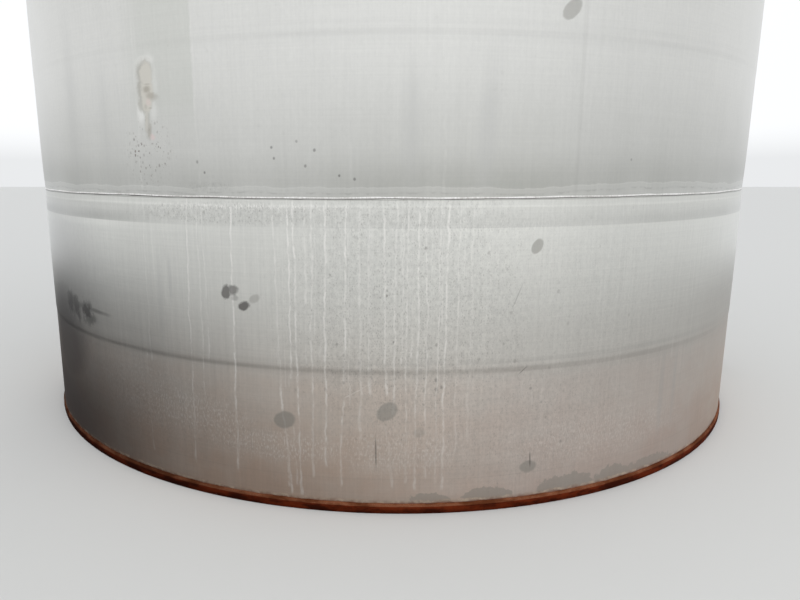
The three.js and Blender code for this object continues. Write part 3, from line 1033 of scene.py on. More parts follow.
DRIP_STAIN = (
    Layer((0.88, 0.87, 0.84), marks(
        (-0.976, 1.768, 0.04, 0.02, 0.55, 0.0, 0.6, 0.9),
        (-0.976, 1.69, 0.052, 0.095, 0.28, 0.0, 0.35, 0.9),
        (-1.012, 1.58, 0.02, 0.042, 0.6, 0.0, 0.6, 0.9), (-0.944, 1.58, 0.016, 0.036, 0.3, 0.0, 0.6, 0.9))),
    Layer((0.40, 0.385, 0.34), marks(
        (-0.982, 1.724, 0.042, 0.052, 0.72, 0.0, 0.35, 0.9),
        (-0.984, 1.665, 0.042, 0.06, 0.74, 0.0, 0.35, 0.9),
        (-0.991, 1.612, 0.034, 0.044, 0.66, 0.0, 0.3, 1.0),
        (-0.982, 1.545, 0.013, 0.055, 0.5, -6.0, 0.5, 1.0))),
    Layer((0.66, 0.635, 0.575), marks(
        (-0.974, 1.718, 0.033, 0.046, 0.88, 0.0, 0.25, 0.9),
        (-0.973, 1.664, 0.033, 0.056, 0.88, 0.0, 0.25, 0.9),
        (-0.98, 1.614, 0.027, 0.04, 0.85, 0.0, 0.3, 1.0),
        (-0.984, 1.552, 0.009, 0.05, 0.6, -6.0, 0.5, 1.0))),
    Layer((0.36, 0.33, 0.28), marks(
        (-0.975, 1.664, 0.019, 0.013, 0.66, 0.0, 0.7, 1.4),
        (-0.972, 1.682, 0.017, 0.003, 0.45, 0.0, 0.8, 1.2),
        (-0.95, 1.637, 0.028, 0.013, 0.55, -12.0, 0.7, 1.4),
        (-0.985, 1.598, 0.008, 0.01, 0.28, 0.0, 0.7, 1.2),
        (-0.96, 1.592, 0.009, 0.003, 0.4, 0.0, 0.8, 1.2),
        (-0.972, 1.503, 0.009, 0.026, 0.55, -8.0, 0.7, 1.4))),
    Layer((0.74, 0.58, 0.56), marks(
        (-0.958, 1.482, 0.012, 0.011, 0.55, 0.0, 0.7, 1.2),
        (-0.97, 1.614, 0.012, 0.012, 0.35, 0.0, 0.7, 1.2))))


@dataclass(frozen=True)
class Surface:
    """A finish: a material whose shader takes what paint gives."""

    name: str
    metallic: float

    def paint(self, graph: Graph) -> dict[str, object]:
        """What goes into the shader's inputs, by name."""
        raise NotImplementedError

    def build(self) -> Material:
        """Makes the material.

        Returns:
            The material.
        """
        material = bpy.data.materials.new(self.name)
        material.use_nodes = True
        graph = Graph(material.node_tree)
        shader = material.node_tree.nodes["Principled BSDF"]
        for name, value in {"Metallic": self.metallic, **self.paint(graph)}.items():
            graph.feed(shader.inputs[name], value)
        return material


@dataclass(frozen=True)
class ShellFinish(Surface):
    """Weathered mill finish of the shell plates."""

    effects: Effects
    marks: PlateMarks = PlateMarks()
    upper: Triple = (0.70, 0.695, 0.668)  # the courses over the bottom one
    lower: Triple = (0.685, 0.682, 0.645)  # the bottom course
    ground_reflection: Triple = (0.60, 0.470, 0.385)  # painted warm reflection of the ground, which thickens towards the foot
    mauve_reflection: Triple = (0.575, 0.480, 0.430)  # the same painted reflection right of the front line
    haze: Triple = (0.33, 0.33, 0.30)  # the dull band over a girth weld
    roughness: float = 0.33

    def paint(self, graph: Graph) -> dict[str, object]:
        """Painted ground reflection and haze, then tone with painted light and bands that are mostly painted
        shade, then stain, pits, runs, spots, painted shade, damp and rust over them.

        Args:
            graph: The material's tree.

        Returns:
            The shader's inputs, by name.
        """
        flat = Laid.over(graph, self.effects)
        weld = self.effects.form.course_foot(2)
        grain, relief = graph.group(self.effects.grain, Upright=0.55)
        [clouds] = graph.group(self.effects.clouds, Detail=0.6)
        colour = graph.mix(flat.height.span(weld - 0.001, weld + 0.001), self.lower, self.upper)
        ground_reflection = self._ground_reflection(flat)
        reflected_tint = graph.mix(abs(flat.arc - 1.0).span(0.3, 1.2), self.mauve_reflection, self.ground_reflection)
        # Painted reflection: the plate is tinted warmer and darker towards the foot, as the ground's
        # reflection would make it.
        colour = graph.mix(ground_reflection, colour, reflected_tint)
        tide, haze = self._haze(flat)
        colour = graph.mix(haze, colour, self.haze)

        zones = flat.marked(self.marks.pitted)
        mottle = (graph.noise(graph.place(), (75.0, 75.0, 50.0), 4.0, 0.75) - 0.51) * (0.11 + zones * 0.62)
        brushed = grain * flat.height.span(weld - 0.1, weld + 0.1, 0.085, 0.050)
        # The painted light patches raise the tone a little.
        tone = 1.0 + clouds * 0.03 + brushed + mottle + tide - zones * 0.06 + flat.marked(self.marks.painted_light)
        colour = graph.tint(colour, tone * self._bands(flat))
        if self.marks.stained:
            colour = self._stain(flat, colour)

        pale = self._pale(flat)
        colour = graph.mix(self._pits(flat, zones), colour, (0.20, 0.185, 0.17))
        colour = graph.mix(pale, colour, (0.95, 0.93, 0.895))
        # Painted shade: the upright streaks and the far-left dark patches darken the plate over its spots.
        layers = ((self.marks.dull, (0.32, 0.310, 0.283)), (self.marks.deep, (0.078, 0.069, 0.066)),
                  (self.marks.painted_shade_streaks, (0.48, 0.48, 0.47)), (self.marks.painted_shade, (0.11, 0.095, 0.10)))
        for places, dark in layers:
            colour = graph.mix(flat.marked(places), colour, dark)
        colour = graph.mix(self._damp(flat), colour, (0.33, 0.320, 0.290))
        return {"Base Color": self._foot(flat, colour),
                "Roughness": self.roughness + grain * 0.04 + ground_reflection * 0.05 + pale * 0.12,
                "Normal": graph.bump(relief, 0.0006, 0.35)}

    def _ground_reflection(self, flat: Laid) -> Signal:
        """How strong the painted warm reflection of the ground is: most at the foot, with a step at the
        crease, in blotches.

        Args:
            flat: The plates laid flat.

        Returns:
            The painted reflection's amount.
        """
        height = flat.height
        crease = ShellRelief(self.effects.form).crease(1)
        stepped = (height + flat.rough * 0.05).span(crease - 0.08, crease + 0.05, 0.20, 0.0)
        aside = height.span(0.04, 0.45, 0.16, 0.0) * abs(flat.arc - 0.35).span(0.25, 0.80, 0.0, 1.0)
        blotches = flat.noise(flat.fold, (5.0, 1.0, 7.0), 4.0, 0.6).span(0.3, 0.7, 0.84, 1.12)
        return (height.span(0.02, crease + 0.35, 0.62, 0.0) + stepped + aside) * blotches

    def _haze(self, flat: Laid) -> tuple[Signal, Signal]:
        """The tide line over every girth weld, and the dull haze that starts there and fades upwards.

        The pale zone between the weld and the tide line has a scalloped upper edge, with dark
        blotches under it.

        Args:
            flat: The plates laid flat.

        Returns:
            The tide line's tone and the haze's amount.
        """
        wide = flat.noise(flat.fold, (3.1, 1.0, 0.0), 2.0, 0.5)
        small = flat.noise(flat.fold, (17.0, 1.0, 0.0), 3.0, 0.6)
        lifted = abs(flat.fold - 1.15).span(0.1, 0.5, 0.014, 0.0)
        edge = flat.rise + (wide - 0.5) * 0.045 + (small - 0.5) * 0.018 - lifted
        pale = edge.window(0.022, 0.028, 0.039, 0.042, 0.018)
        line = edge.window(0.034, 0.039, 0.040, 0.042, 0.050)
        blotch = edge.window(0.014, 0.018, 0.020, 0.024, -0.13) * small.span(0.42, 0.60)
        dull = edge.span(0.006, 0.012, 0.09, 0.13) + edge.span(0.040, 0.043, 0.0, 0.13)
        haze = flat.rise.span(0.05, 0.60, 0.40, 0.0) + dull * edge.span(0.046, 0.20, 1.0, 0.0)
        thin = abs(flat.fold + 0.75).span(0.3, 0.9, 0.72, 1.0) * wide.span(0.3, 0.7, 0.88, 1.12)
        thin = thin * flat.fold.span(0.60, 1.05, 1.0, 0.84)
        return (pale + line + blotch) * flat.upper, haze * thin * flat.upper

    def _bands(self, flat: Laid) -> Signal:
        """Tone of the bands under every girth weld, the creases and the ground seam, mostly painted shade and
        painted highlight along the relief.

        Under a weld lie a painted shadow line, a painted highlight stripe and a band with a crisp lower edge.

        Args:
            flat: The plates laid flat.

        Returns:
            A factor on the plate's colour.
        """
        form = self.effects.form
        relief = ShellRelief(form)
        fold, height = flat.fold, flat.height
        drop = form.course_height - flat.rise
        band = drop.span(0.040, 0.095, -0.035, -0.125) * drop.window(0.031, 0.040, 0.106, 0.111)
        strong = fold.span(-1.45, -0.80, 2.4, 0.42) + fold.span(-0.30, 0.20, 0.0, 0.58)
        strong = strong + fold.span(0.70, 1.50, 0.0, 0.35)
        under = (band + drop.strip(0.125, 0.030, 0.018)) * strong
        # Painted shadow: a dark line right under the weld's bead. Painted highlight: a pale stripe a little
        # lower.
        under = under + drop.strip(0.0040, 0.0045, -0.30) + drop.strip(0.029, 0.0055, 0.05)
        # Painted shade: the top of the band is darker on the far left.
        under = under + drop.span(0.035, 0.060, 1.0, 0.0) * fold.span(-1.6, -1.1, -0.055, 0.0)

        level = relief.crease(1) - form.foot
        place = flat.rise - flat.upper * relief.upper_shift
        # Painted shade and highlight: dark and pale lines along the crease, where the plate steps in.
        crease = (place.strip(level, 0.060, -0.05) + place.strip(level - 0.004, 0.016, -0.115)
                  + place.strip(level + 0.016, 0.008, 0.025) + place.strip(level + 0.032, 0.012, -0.045))
        faint = height.span(form.course_foot(2), form.course_foot(2) + 0.1, 1.0, 0.3)
        faint = faint * abs(flat.arc - 0.55).span(0.5, 1.6, 1.0, 0.20)
        seam = abs(flat.arc - form.seam_angle(0) * form.radius).span(0.003, 0.014, -0.05, 0.0)
        seam = seam * flat.upper * height.span(form.course_foot(3) - 0.002, form.course_foot(3), 1.0, 0.0)
        wide = flat.graph.noise(flat.graph.place(), (2.3, 2.3, 0.1), 2.0, 0.5).span(0.3, 0.7, 0.8, 1.2)
        return 1.0 + (height.strip(0.144, 0.004, -0.04) + under + crease * faint + seam) * wide

    def _pits(self, flat: Laid, zones: Value) -> Signal:
        """Dark pits, thick in the band under the weld and in the middle of the bottom course.

        Args:
            flat: The plates laid flat.
            zones: Where the pits are thick.

        Returns:
            Their mask.
        """
        graph, height = flat.graph, flat.height
        weld = self.effects.form.course_foot(2)
        band = height.window(weld - 0.11, weld - 0.10, weld - 0.035, weld - 0.02)
        [fine] = graph.group(self.effects.speckle, Scale=190.0, Share=0.85, Size=0.42, Tall=0.55)
        [rare] = graph.group(self.effects.speckle, Scale=42.0, Share=0.13, Size=0.27, Tall=0.8)
        where = graph.most((band * 0.15, zones))
        return graph.most((fine * (where * 0.42 + 0.02), rare * (0.06 + where * 0.7)))

    def _pale(self, flat: Laid) -> Signal:
        """Pale water runs and the pale crust that they leave low down.

        Args:
            flat: The plates laid flat.

        Returns:
            Their mask.
        """
        form, graph = self.effects.form, flat.graph
        weld = form.course_foot(2)
        bent = flat.arc + (flat.noise(flat.arc, (5.0, 1.0, 5.5), 4.0, 0.66) - 0.5) * 0.042
        drawn = [graph.group(self.effects.run, Arc=bent, Height=flat.height, Along=run.along,
                             Slant=(run.end - run.along) / (run.top - run.bottom), Top=run.top,
                             Bottom=run.bottom, Width=run.width)[0] * run.strength
                 for run in self.marks.runs]
        here = 0.36 + flat.marked(marks((-0.02, 0.7, 0.40, 0.9, 1.0, 0.0, 0.2))) * 0.64
        layers = ((330, 0.55, weld, 1.15, 0.0045, 3.0, 0.50, here),
                  (620, 0.42, weld, 0.95, 0.003, 8.0, 0.34, here),
                  (150, 0.40, form.top, 5.9, 0.006, 5.0, 0.10, 1.0))
        around = TURN * form.radius
        for count, share, top, longest, width, seed, strength, where in layers:
            [mask] = graph.group(self.effects.runs, Arc=bent, Height=flat.height, Strip=around / count,
                                 Share=share, Top=top, Longest=longest, Width=width, Seed=seed)
            drawn.append(mask * strength * where)
        patchy = flat.noise(flat.arc, (42.0, 1.0, 20.0), 3.0, 0.6).span(0.36, 0.60, 0.22, 1.05)
        total = graph.most(drawn) * patchy * flat.height.span(0.10, 0.70, 0.55, 1.0)
        crust = flat.noise(flat.arc, (150.0, 1.0, 62.0), 3.0, 0.6).span(0.47, 0.64)
        return graph.most((total, crust * flat.marked(self.marks.crusted)))

    def _stain(self, flat: Laid, colour: Signal) -> Signal:
        """The beige drip stain of the second course, in a dull patch with pits round its foot.

        Args:
            flat: The plates laid flat.
            colour: Colour of the plate.

        Returns:
            The colour with the stain on it.
        """
        graph = flat.graph
        bent = flat.arc + flat.rough * 0.02
        patch = bent.window(-1.16, -0.92, -0.752, -0.742, 0.26)
        colour = graph.mix(patch * flat.height.span(1.48, 1.66), colour, (0.47, 0.49, 0.43))
        for layer in DRIP_STAIN:
            colour = graph.mix(flat.marked(layer.marks), colour, layer.colour)
        zone = flat.marked(marks((-0.985, 1.42, 0.11, 0.11, 0.85, 0.0, 0.5, 0.8)))
        [pits] = graph.group(self.effects.speckle, Scale=84.0, Share=0.66, Size=0.40, Tall=0.75)
        return graph.mix(pits * zone, colour, (0.20, 0.17, 0.15))

    def _damp(self, flat: Laid) -> Signal:
        """Damp patches over the foot ring, at the front from listed marks and elsewhere by noise.

        Args:
            flat: The plates laid flat.

        Returns:
            Their mask.
        """
        wide = flat.graph.noise(flat.graph.place(), (1.1, 1.1, 0.1), 2.0, 0.5)
        level = flat.height - 0.04 - (wide.span(0.50, 0.58, 0.0, 0.06) + flat.rough * 0.05)
        round_it = level.span(-0.002, 0.003, 0.5, 0.0) * abs(flat.arc).span(1.7, 1.8)
        return flat.graph.most((flat.marked(self.marks.damp), round_it))

    def _foot(self, flat: Laid, colour: Signal) -> Signal:
        """Rust bloom over the foot weld and the pale line at the weld's toe.

        Args:
            flat: The plates laid flat.
            colour: Colour of the plate.

        Returns:
            The colour with both on it.
        """
        graph = flat.graph
        level = flat.height + flat.rough * 0.022
        broken = graph.noise(graph.place(), (24.0, 24.0, 24.0), 4.0, 0.65).span(0.38, 0.66, 0.12, 0.70)
        line = level.window(0.040, 0.046, 0.050, 0.058) * broken
        colour = graph.mix(level.span(0.040, 0.060, 0.62, 0.0), colour, (0.27, 0.105, 0.058))
        return graph.mix(line, colour, (0.80, 0.69, 0.55))


@dataclass(frozen=True)
class SteelFinish(Surface):
    """Stainless pieces other than the shell: brushed, with dust in soft blotches."""

    effects: Effects
    colour: Triple
    dust: Triple = (0.36, 0.33, 0.29)
    dusty: float = 0.3  # how much dust there is
    roughness: float = 0.42

    def paint(self, graph: Graph) -> dict[str, object]:
        """Brushed steel under dust and pits.

        Args:
            graph: The material's tree.

        Returns:
            The shader's inputs, by name.
        """
        grain, relief = graph.group(self.effects.grain, Upright=0.5)
        [clouds] = graph.group(self.effects.clouds, Detail=1.4)
        [pits] = graph.group(self.effects.speckle, Scale=70.0, Share=0.25, Size=0.28)
        dust = clouds.span(-0.5, 1.2) * self.dusty
        colour = graph.mix(dust, graph.tint(self.colour, 1.0 + grain * 0.06 + clouds * 0.05), self.dust)
        return {"Base Color": graph.mix(pits * 0.25, colour, (0.12, 0.10, 0.09)),
                "Roughness": self.roughness + grain * 0.05 + dust * 0.4,
                "Normal": graph.bump(relief, 0.0005, 0.3)}


@dataclass(frozen=True)
class WeldFinish(Surface):
    """Weld metal with fine ripples, a dull oxide tone and painted shade on its underside."""

    bright: Triple = (0.92, 0.91, 0.89)
    dull: Triple = (0.62, 0.60, 0.57)
    # colour of the painted shade on the weld's underside
    underside_shade: Triple = (0.10, 0.092, 0.085)

    def paint(self, graph: Graph) -> dict[str, object]:
        """Ripples between dull and bright, and painted shade where the face looks down.

        Args:
            graph: The material's tree.

        Returns:
            The shader's inputs, by name.
        """
        ripple = graph.noise(graph.place(), (150.0, 150.0, 60.0), 3.0, 0.6)
        wide = graph.noise(graph.place(), (6.0, 6.0, 6.0), 3.0, 0.6)
        colour = graph.mix((ripple * 0.7 + wide * 0.6).span(0.42, 0.82), self.dull, self.bright)
        up = graph.parts(graph.step("ShaderNodeNewGeometry", {}, "Normal"))[2]
        # Painted shade: darker where the weld's face looks down.
        return {"Base Color": graph.mix(up.span(-0.45, 0.0, 0.92, 0.0), colour, self.underside_shade),
                "Roughness": wide.span(0.3, 0.7, 0.30, 0.45),
                "Normal": graph.bump(ripple, 0.0004, 0.25)}


@dataclass(frozen=True)
class RustFinish(Surface):
    """Rusted carbon steel, darker low down and orange where the scale is fresh."""

    effects: Effects
    dark: Triple = (0.034, 0.0055, 0.002)  # old rust
    fresh: Triple = (0.120, 0.018, 0.0045)
    crust: Triple = (0.34, 0.20, 0.14)  # pale pinkish crust
    crusted: float = 0.03  # how much crust there is
    shine: float = 0.04  # strength of its reflections

    def paint(self, graph: Graph) -> dict[str, object]:
        """Scale and crust, with painted shade towards the left of the front.

        Args:
            graph: The material's tree.

        Returns:
            The shader's inputs, by name.
        """
        patch, grit, relief = graph.group(self.effects.rust)
        arc, height, _ = graph.group(self.effects.wrap)
        colour = graph.mix((patch * 0.6 + relief * 0.6).span(0.35, 0.95), self.dark, self.fresh)
        crust = grit.span(0.5, 0.7) * patch.span(0.3, 0.9) * self.crusted
        colour = graph.tint(graph.mix(crust, colour, self.crust), height.span(0.0, 0.03, 0.6, 1.0))
        # Painted shade: the ring darkens towards the left of the front.
        return {"Base Color": graph.tint(colour, abs(arc + 1.75).span(0.6, 1.6, 0.60, 1.0)),
                "Roughness": grit.span(0.2, 0.8, 0.75, 0.95),
                "Specular IOR Level": self.shine,
                "Normal": graph.bump(relief, 0.002, 0.8)}


@dataclass(frozen=True)
class GasketFinish(Surface):
    """Grey-black gasket sheet, a little chalky."""

    effects: Effects

    def paint(self, graph: Graph) -> dict[str, object]:
        """Soft blotches."""
        [clouds] = graph.group(self.effects.clouds, Detail=2.0)
        return {"Base Color": graph.mix(clouds.span(-1.0, 1.0), (0.028, 0.028, 0.030), (0.07, 0.068, 0.065)),
                "Roughness": clouds.span(-1.0, 1.0, 0.7, 0.9)}


@dataclass(frozen=True)
class FloorFinish(Surface):
    """Plain pale studio floor. The light that it throws back is shaped apart from how it looks."""

    colour: Triple = (0.66, 0.66, 0.65)  # how it looks
    near: Triple = (0.86, 0.835, 0.81)  # what it throws back close to the tank
    middle: Triple = (0.56, 0.55, 0.54)  # the same some metres out
    far: Triple = (0.95, 0.96, 0.97)
    right: float = 0.63  # share of that light on the right
    dim: Triple = (0.012, 0.012, 0.013)  # what it throws back on the dim side
    dim_middle: tuple[float, float] = (-3.2, 0.2)
    dim_reach: tuple[float, float] = (3.4, 2.7)

    def paint(self, graph: Graph) -> dict[str, object]:
        """The plain colour for the camera, and the shaped one for all other rays.

        Args:
            graph: The material's tree.

        Returns:
            The shader's inputs, by name.
        """
        x, y, _ = graph.parts(graph.place())
        axis = graph.length(x, y)
        bounce = graph.mix(axis.span(2.2, 4.6), self.near, self.middle)
        bounce = graph.tint(bounce, x.span(0.0, 2.8, 1.0, self.right))
        away = graph.length(*((part - middle) / reach
                              for part, middle, reach in zip((x, y), self.dim_middle, self.dim_reach)))
        bounce = graph.mix(away.span(0.72, 2.0), self.dim, bounce)
        bounce = graph.mix(axis.span(5.5, 11.0), bounce, self.far)
        seen = graph.step("ShaderNodeLightPath", {}, "Is Camera Ray")
        return {"Base Color": graph.mix(seen, bounce, self.colour), "Roughness": 0.85}


class Finishes:
    """All finishes of the tank, each made once."""

    def __init__(self, effects: Effects) -> None:
        """Makes the materials.

        Args:
            effects: The shared node groups.
        """
        self.shell = ShellFinish("weathered_shell", 0.92, effects).build()
        self.bottom_shell = ShellFinish("weathered_bottom", 0.92, effects, BOTTOM_MARKS).build()
        self.second_shell = ShellFinish("weathered_second", 0.92, effects, SECOND_MARKS).build()
        self.roof = SteelFinish("dusty_roof", 0.6, effects, (0.52, 0.515, 0.50), dusty=0.5,
                                roughness=0.5).build()
        self.fitting = SteelFinish("brushed_fitting", 0.85, effects, (0.52, 0.515, 0.505)).build()
        self.bolt = SteelFinish("bright_bolt", 0.9, effects, (0.60, 0.59, 0.57), dusty=0.15,
                                roughness=0.32).build()
        self.weld = WeldFinish("weld_metal", 0.8).build()
        self.rust = RustFinish("rusted_bar", 0.0, effects).build()
        self.rusted_weld = RustFinish("rusted_weld", 0.0, effects, dark=(0.085, 0.025, 0.010),
                                      fresh=(0.185, 0.066, 0.032), crusted=0.38).build()
        self.gasket = GasketFinish("gasket_sheet", 0.0, effects).build()
        self.floor = FloorFinish("studio_floor", 0.0).build()


# Sub-assemblies


@dataclass(frozen=True)
class Fitting:
    """Where a fitting passes through the shell, which is rolled true round it."""

    degrees: float
    height: float
    radius: float

    @property
    def place(self) -> Place:
        """Where the fitting's own coordinates lie."""
        return Place.radial(self.degrees, self.height)


MANWAY = Fitting(180.0, 0.650, 0.311)
OUTLET = Fitting(90.0, 0.190, 0.057)
FILL = Fitting(180.0, 5.777, 0.057)
SHELL_FITTINGS = (MANWAY, OUTLET, FILL)


@dataclass(frozen=True)
class Fastener:
    """A hexagon bolt or nut with a washer, made on the local Z axis and pointing up."""

    across_flats: float
    head: float  # height of the hexagon
    washer: float = 0.002  # thickness of the washer
    stud: float = 0.0  # how far the stud stands out of the nut, 0 for a bolt's head

    def grids(self, distance: float, level: float, facing: int) -> list[Array]:
        """The washer, the hexagon and the stud's end, at a distance from the axis.

        Args:
            distance: Radius of the bolt circle.
            level: Height of the face that it is tightened on.
            facing: 1 where it points along +Z, -1 where it points back.

        Returns:
            Grids that start and end on the fastener's own axis.
        """
        corner = self.across_flats / math.sqrt(3)
        top = self.washer + self.head
        chamfer = self.head * 0.12
        thread = self.across_flats * 0.32
        end = top + self.stud
        parts = [([[0, 0], [corner * 1.12, 0], [corner * 1.12, self.washer], [0, self.washer]], 20),
                 ([[0, self.washer], [corner, self.washer], [corner, top - chamfer], [corner * 0.9, top],
                   [0, top]], 6)]
        if self.stud > 0:
            parts.append(([[0, top], [thread, top], [thread, end - 0.0015], [thread - 0.0015, end],
                           [0, end]], 12))
        return [turned(np.array(profile, dtype=float), segments) * (1, 1, facing) + (distance, 0.0, level)
                for profile, segments in parts]


@dataclass
class Assembly:
    """A sub-assembly, which dresses its pieces and ties them to the frame."""

    form: TankForm
    finishes: Finishes
    slot: ClassVar[Slot] = Slot.FITTING

    def dress(self, piece: Object, material: Material, *nodes: str) -> Object:
        """Gives a piece its material and its part in the frame.

        Args:
            piece: The new piece.
            material: Its finish.
            nodes: CAD nodes that it stands for.

        Returns:
            The piece.
        """
        piece.data.materials.clear()
        piece.data.materials.append(material)
        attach(piece, BODY)
        if nodes:
            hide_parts(*nodes)
        piece.data.calc_loop_triangles()
        LOG.info("%s: %d triangles", piece.name, len(piece.data.loop_triangles))
        return piece

    def steel(self, name: str, skin: Skin, node: str, place: Place | None = None) -> Object:
        """A piece of plain fitting steel that stands for a CAD node."""
        return self.dress(skin.to_object(name, place), self.finishes.fitting, node)

    def weld(self, name: str, skin: Skin, place: Place | None = None) -> Object:
        """A weld, which stands for no node."""
        return self.dress(skin.to_object(name, place, 60.0), self.finishes.weld)

    def seal(self, name: str, profile: Array, segments: int, place: Place) -> Object:
        """A gasket, which stands for no node."""
        return self.dress(Skin().add(turned(profile, segments)).to_object(name, place), self.finishes.gasket)

    def fasten(self, name: str, fastener: Fastener, circle: tuple[float, int],
               levels: Sequence[tuple[float, int]], place: Place) -> Object:
        """Fasteners spread evenly on a circle, half a step off the horizontal.

        Args:
            name: Name of the piece.
            fastener: The bolt or nut.
            circle: Radius of the circle and how many stand on it.
            levels: Height and facing of each layer of them.
            place: Where the flange stands.

        Returns:
            The piece.
        """
        distance, count = circle
        skin = Skin()
        for level, facing in levels:
            for grid in fastener.grids(distance, level, facing):
                skin.add_round(grid @ spin(math.pi / count), count, profile=False)
        return self.dress(skin.to_object(name, place, 30.0), self.finishes.bolt)


@dataclass(frozen=True)
class ShellRelief:
    """How far the plates stand in from a true cylinder.

    The girth welds pinch the shell, with a faint ridge and a step under them. Every course has a crease
    a bit under its middle, where the plate steps in.
    """

    form: TankForm
    pinch: float = 0.0050  # how far a girth weld draws the plates in
    pinch_reach: float = 0.100  # height over which the pinch fades
    ridge: float = 0.0004  # height of the ridge under a weld
    ridge_drop: float = 0.033  # how far it lies under the weld
    step: float = 0.0003
    step_drop: float = 0.104
    crease_share: float = 0.46  # height of a crease as a share of the course
    upper_shift: float = 0.018  # how much higher it lies in the courses over the bottom one
    soft_crease: float = 0.0014  # depth of the crease's soft part
    sharp_crease: float = 0.0006
    swell: float = 0.0009  # height of the slow waves all over

    def crease(self, course: int) -> float:
        """Height of a course's crease."""
        shift = self.upper_shift if course > 1 else 0.0
        return self.form.course_foot(course) + self.crease_share * self.form.course_height + shift

    def offset(self, angle: Array, height: Array) -> Array:
        """Distance out of the true cylinder at each place, negative inwards.

        Args:
            angle: Angles in radians.
            height: Heights.

        Returns:
            The sum of pinch, ridge, step, crease and slow waves.
        """
        form = self.form
        wander = waves(angle, (3, 5, 8, 13, 19), 4)
        total = self.swell * (waves(angle, (4, 7, 9, 12, 17), 11, height, 1.6) - 1.2)
        for course in range(2, form.courses + 1):
            weld = form.course_foot(course)
            over = height - weld + 0.004 * waves(angle, (5, 9, 14, 23, 31), 19 + course)
            pinch = self.pinch * np.exp(-np.abs(height - weld) / self.pinch_reach)
            total = total - pinch * (1 + 0.15 * wander)
            total += self.ridge * np.exp(-((over + self.ridge_drop) / 0.006) ** 2)
            step = smooth_step(over, -self.step_drop - 0.004, -self.step_drop + 0.004)
            total -= self.step * step * smooth_step(-over, 0.0, 0.02)
        for course in range(1, form.courses + 1):
            foot = form.course_foot(course)
            crease = self.crease(course)
            below = crease - height
            fade = np.clip((height - foot) / (crease - foot), 0.0, 1.0)
            stepped = (self.soft_crease * smooth_step(below, -0.018, 0.020)
                       + self.sharp_crease * smooth_step(below, -0.002, 0.010))
            share = 1.0 if course == 1 else 0.45
            total -= np.where((height >= foot) & (below > -0.02), stepped * fade * share, 0.0)
        return total * self._calm(angle, height)

    def _calm(self, angle: Array, height: Array) -> Array:
        """0 close to a fitting, where the plate is true, and 1 away from it.

        Args:
            angle: Angles in radians.
            height: Heights.

        Returns:
            The factor at each place.
        """
        calm = np.ones_like(angle * height)
        for fitting in SHELL_FITTINGS:
            turn = (angle - math.radians(fitting.degrees) + math.pi) % TURN - math.pi
            away = np.hypot(turn * self.form.radius, height - fitting.height)
            calm *= smooth_step(away, fitting.radius * 1.5, fitting.radius * 1.5 + 0.12)
        return calm

    def rows(self, course: int, fine: float, coarse: float) -> Array:
        """Heights of a course's rows of points, closest at the welds and the crease.

        The rows stand at equal steps of the running sum of a density, which is 1 / coarse all over
        and rises to 1 / fine at the places with short relief.

        Args:
            course: The course.
            fine: Smallest step.
            coarse: Largest step.

        Returns:
            The heights, from the foot up.
        """
        form = self.form
        foot = form.course_foot(course)
        height = np.linspace(foot, foot + form.course_height, 2001)
        density = np.full_like(height, 1 / coarse)
        spots = [(self.crease(course), 0.028)]
        spots += [(foot, 0.10)] if course > 1 else []
        spots += [(foot + form.course_height, 0.075)] if course < form.courses else []
        for middle, reach in spots:
            density += (1 / fine - 1 / coarse) * np.exp(-((height - middle) / reach) ** 4)
        run = np.concatenate([[0.0], np.cumsum((density[1:] + density[:-1]) / 2 * np.diff(height))])
        return np.interp(np.linspace(0.0, run[-1], int(run[-1]) + 2), run, height)


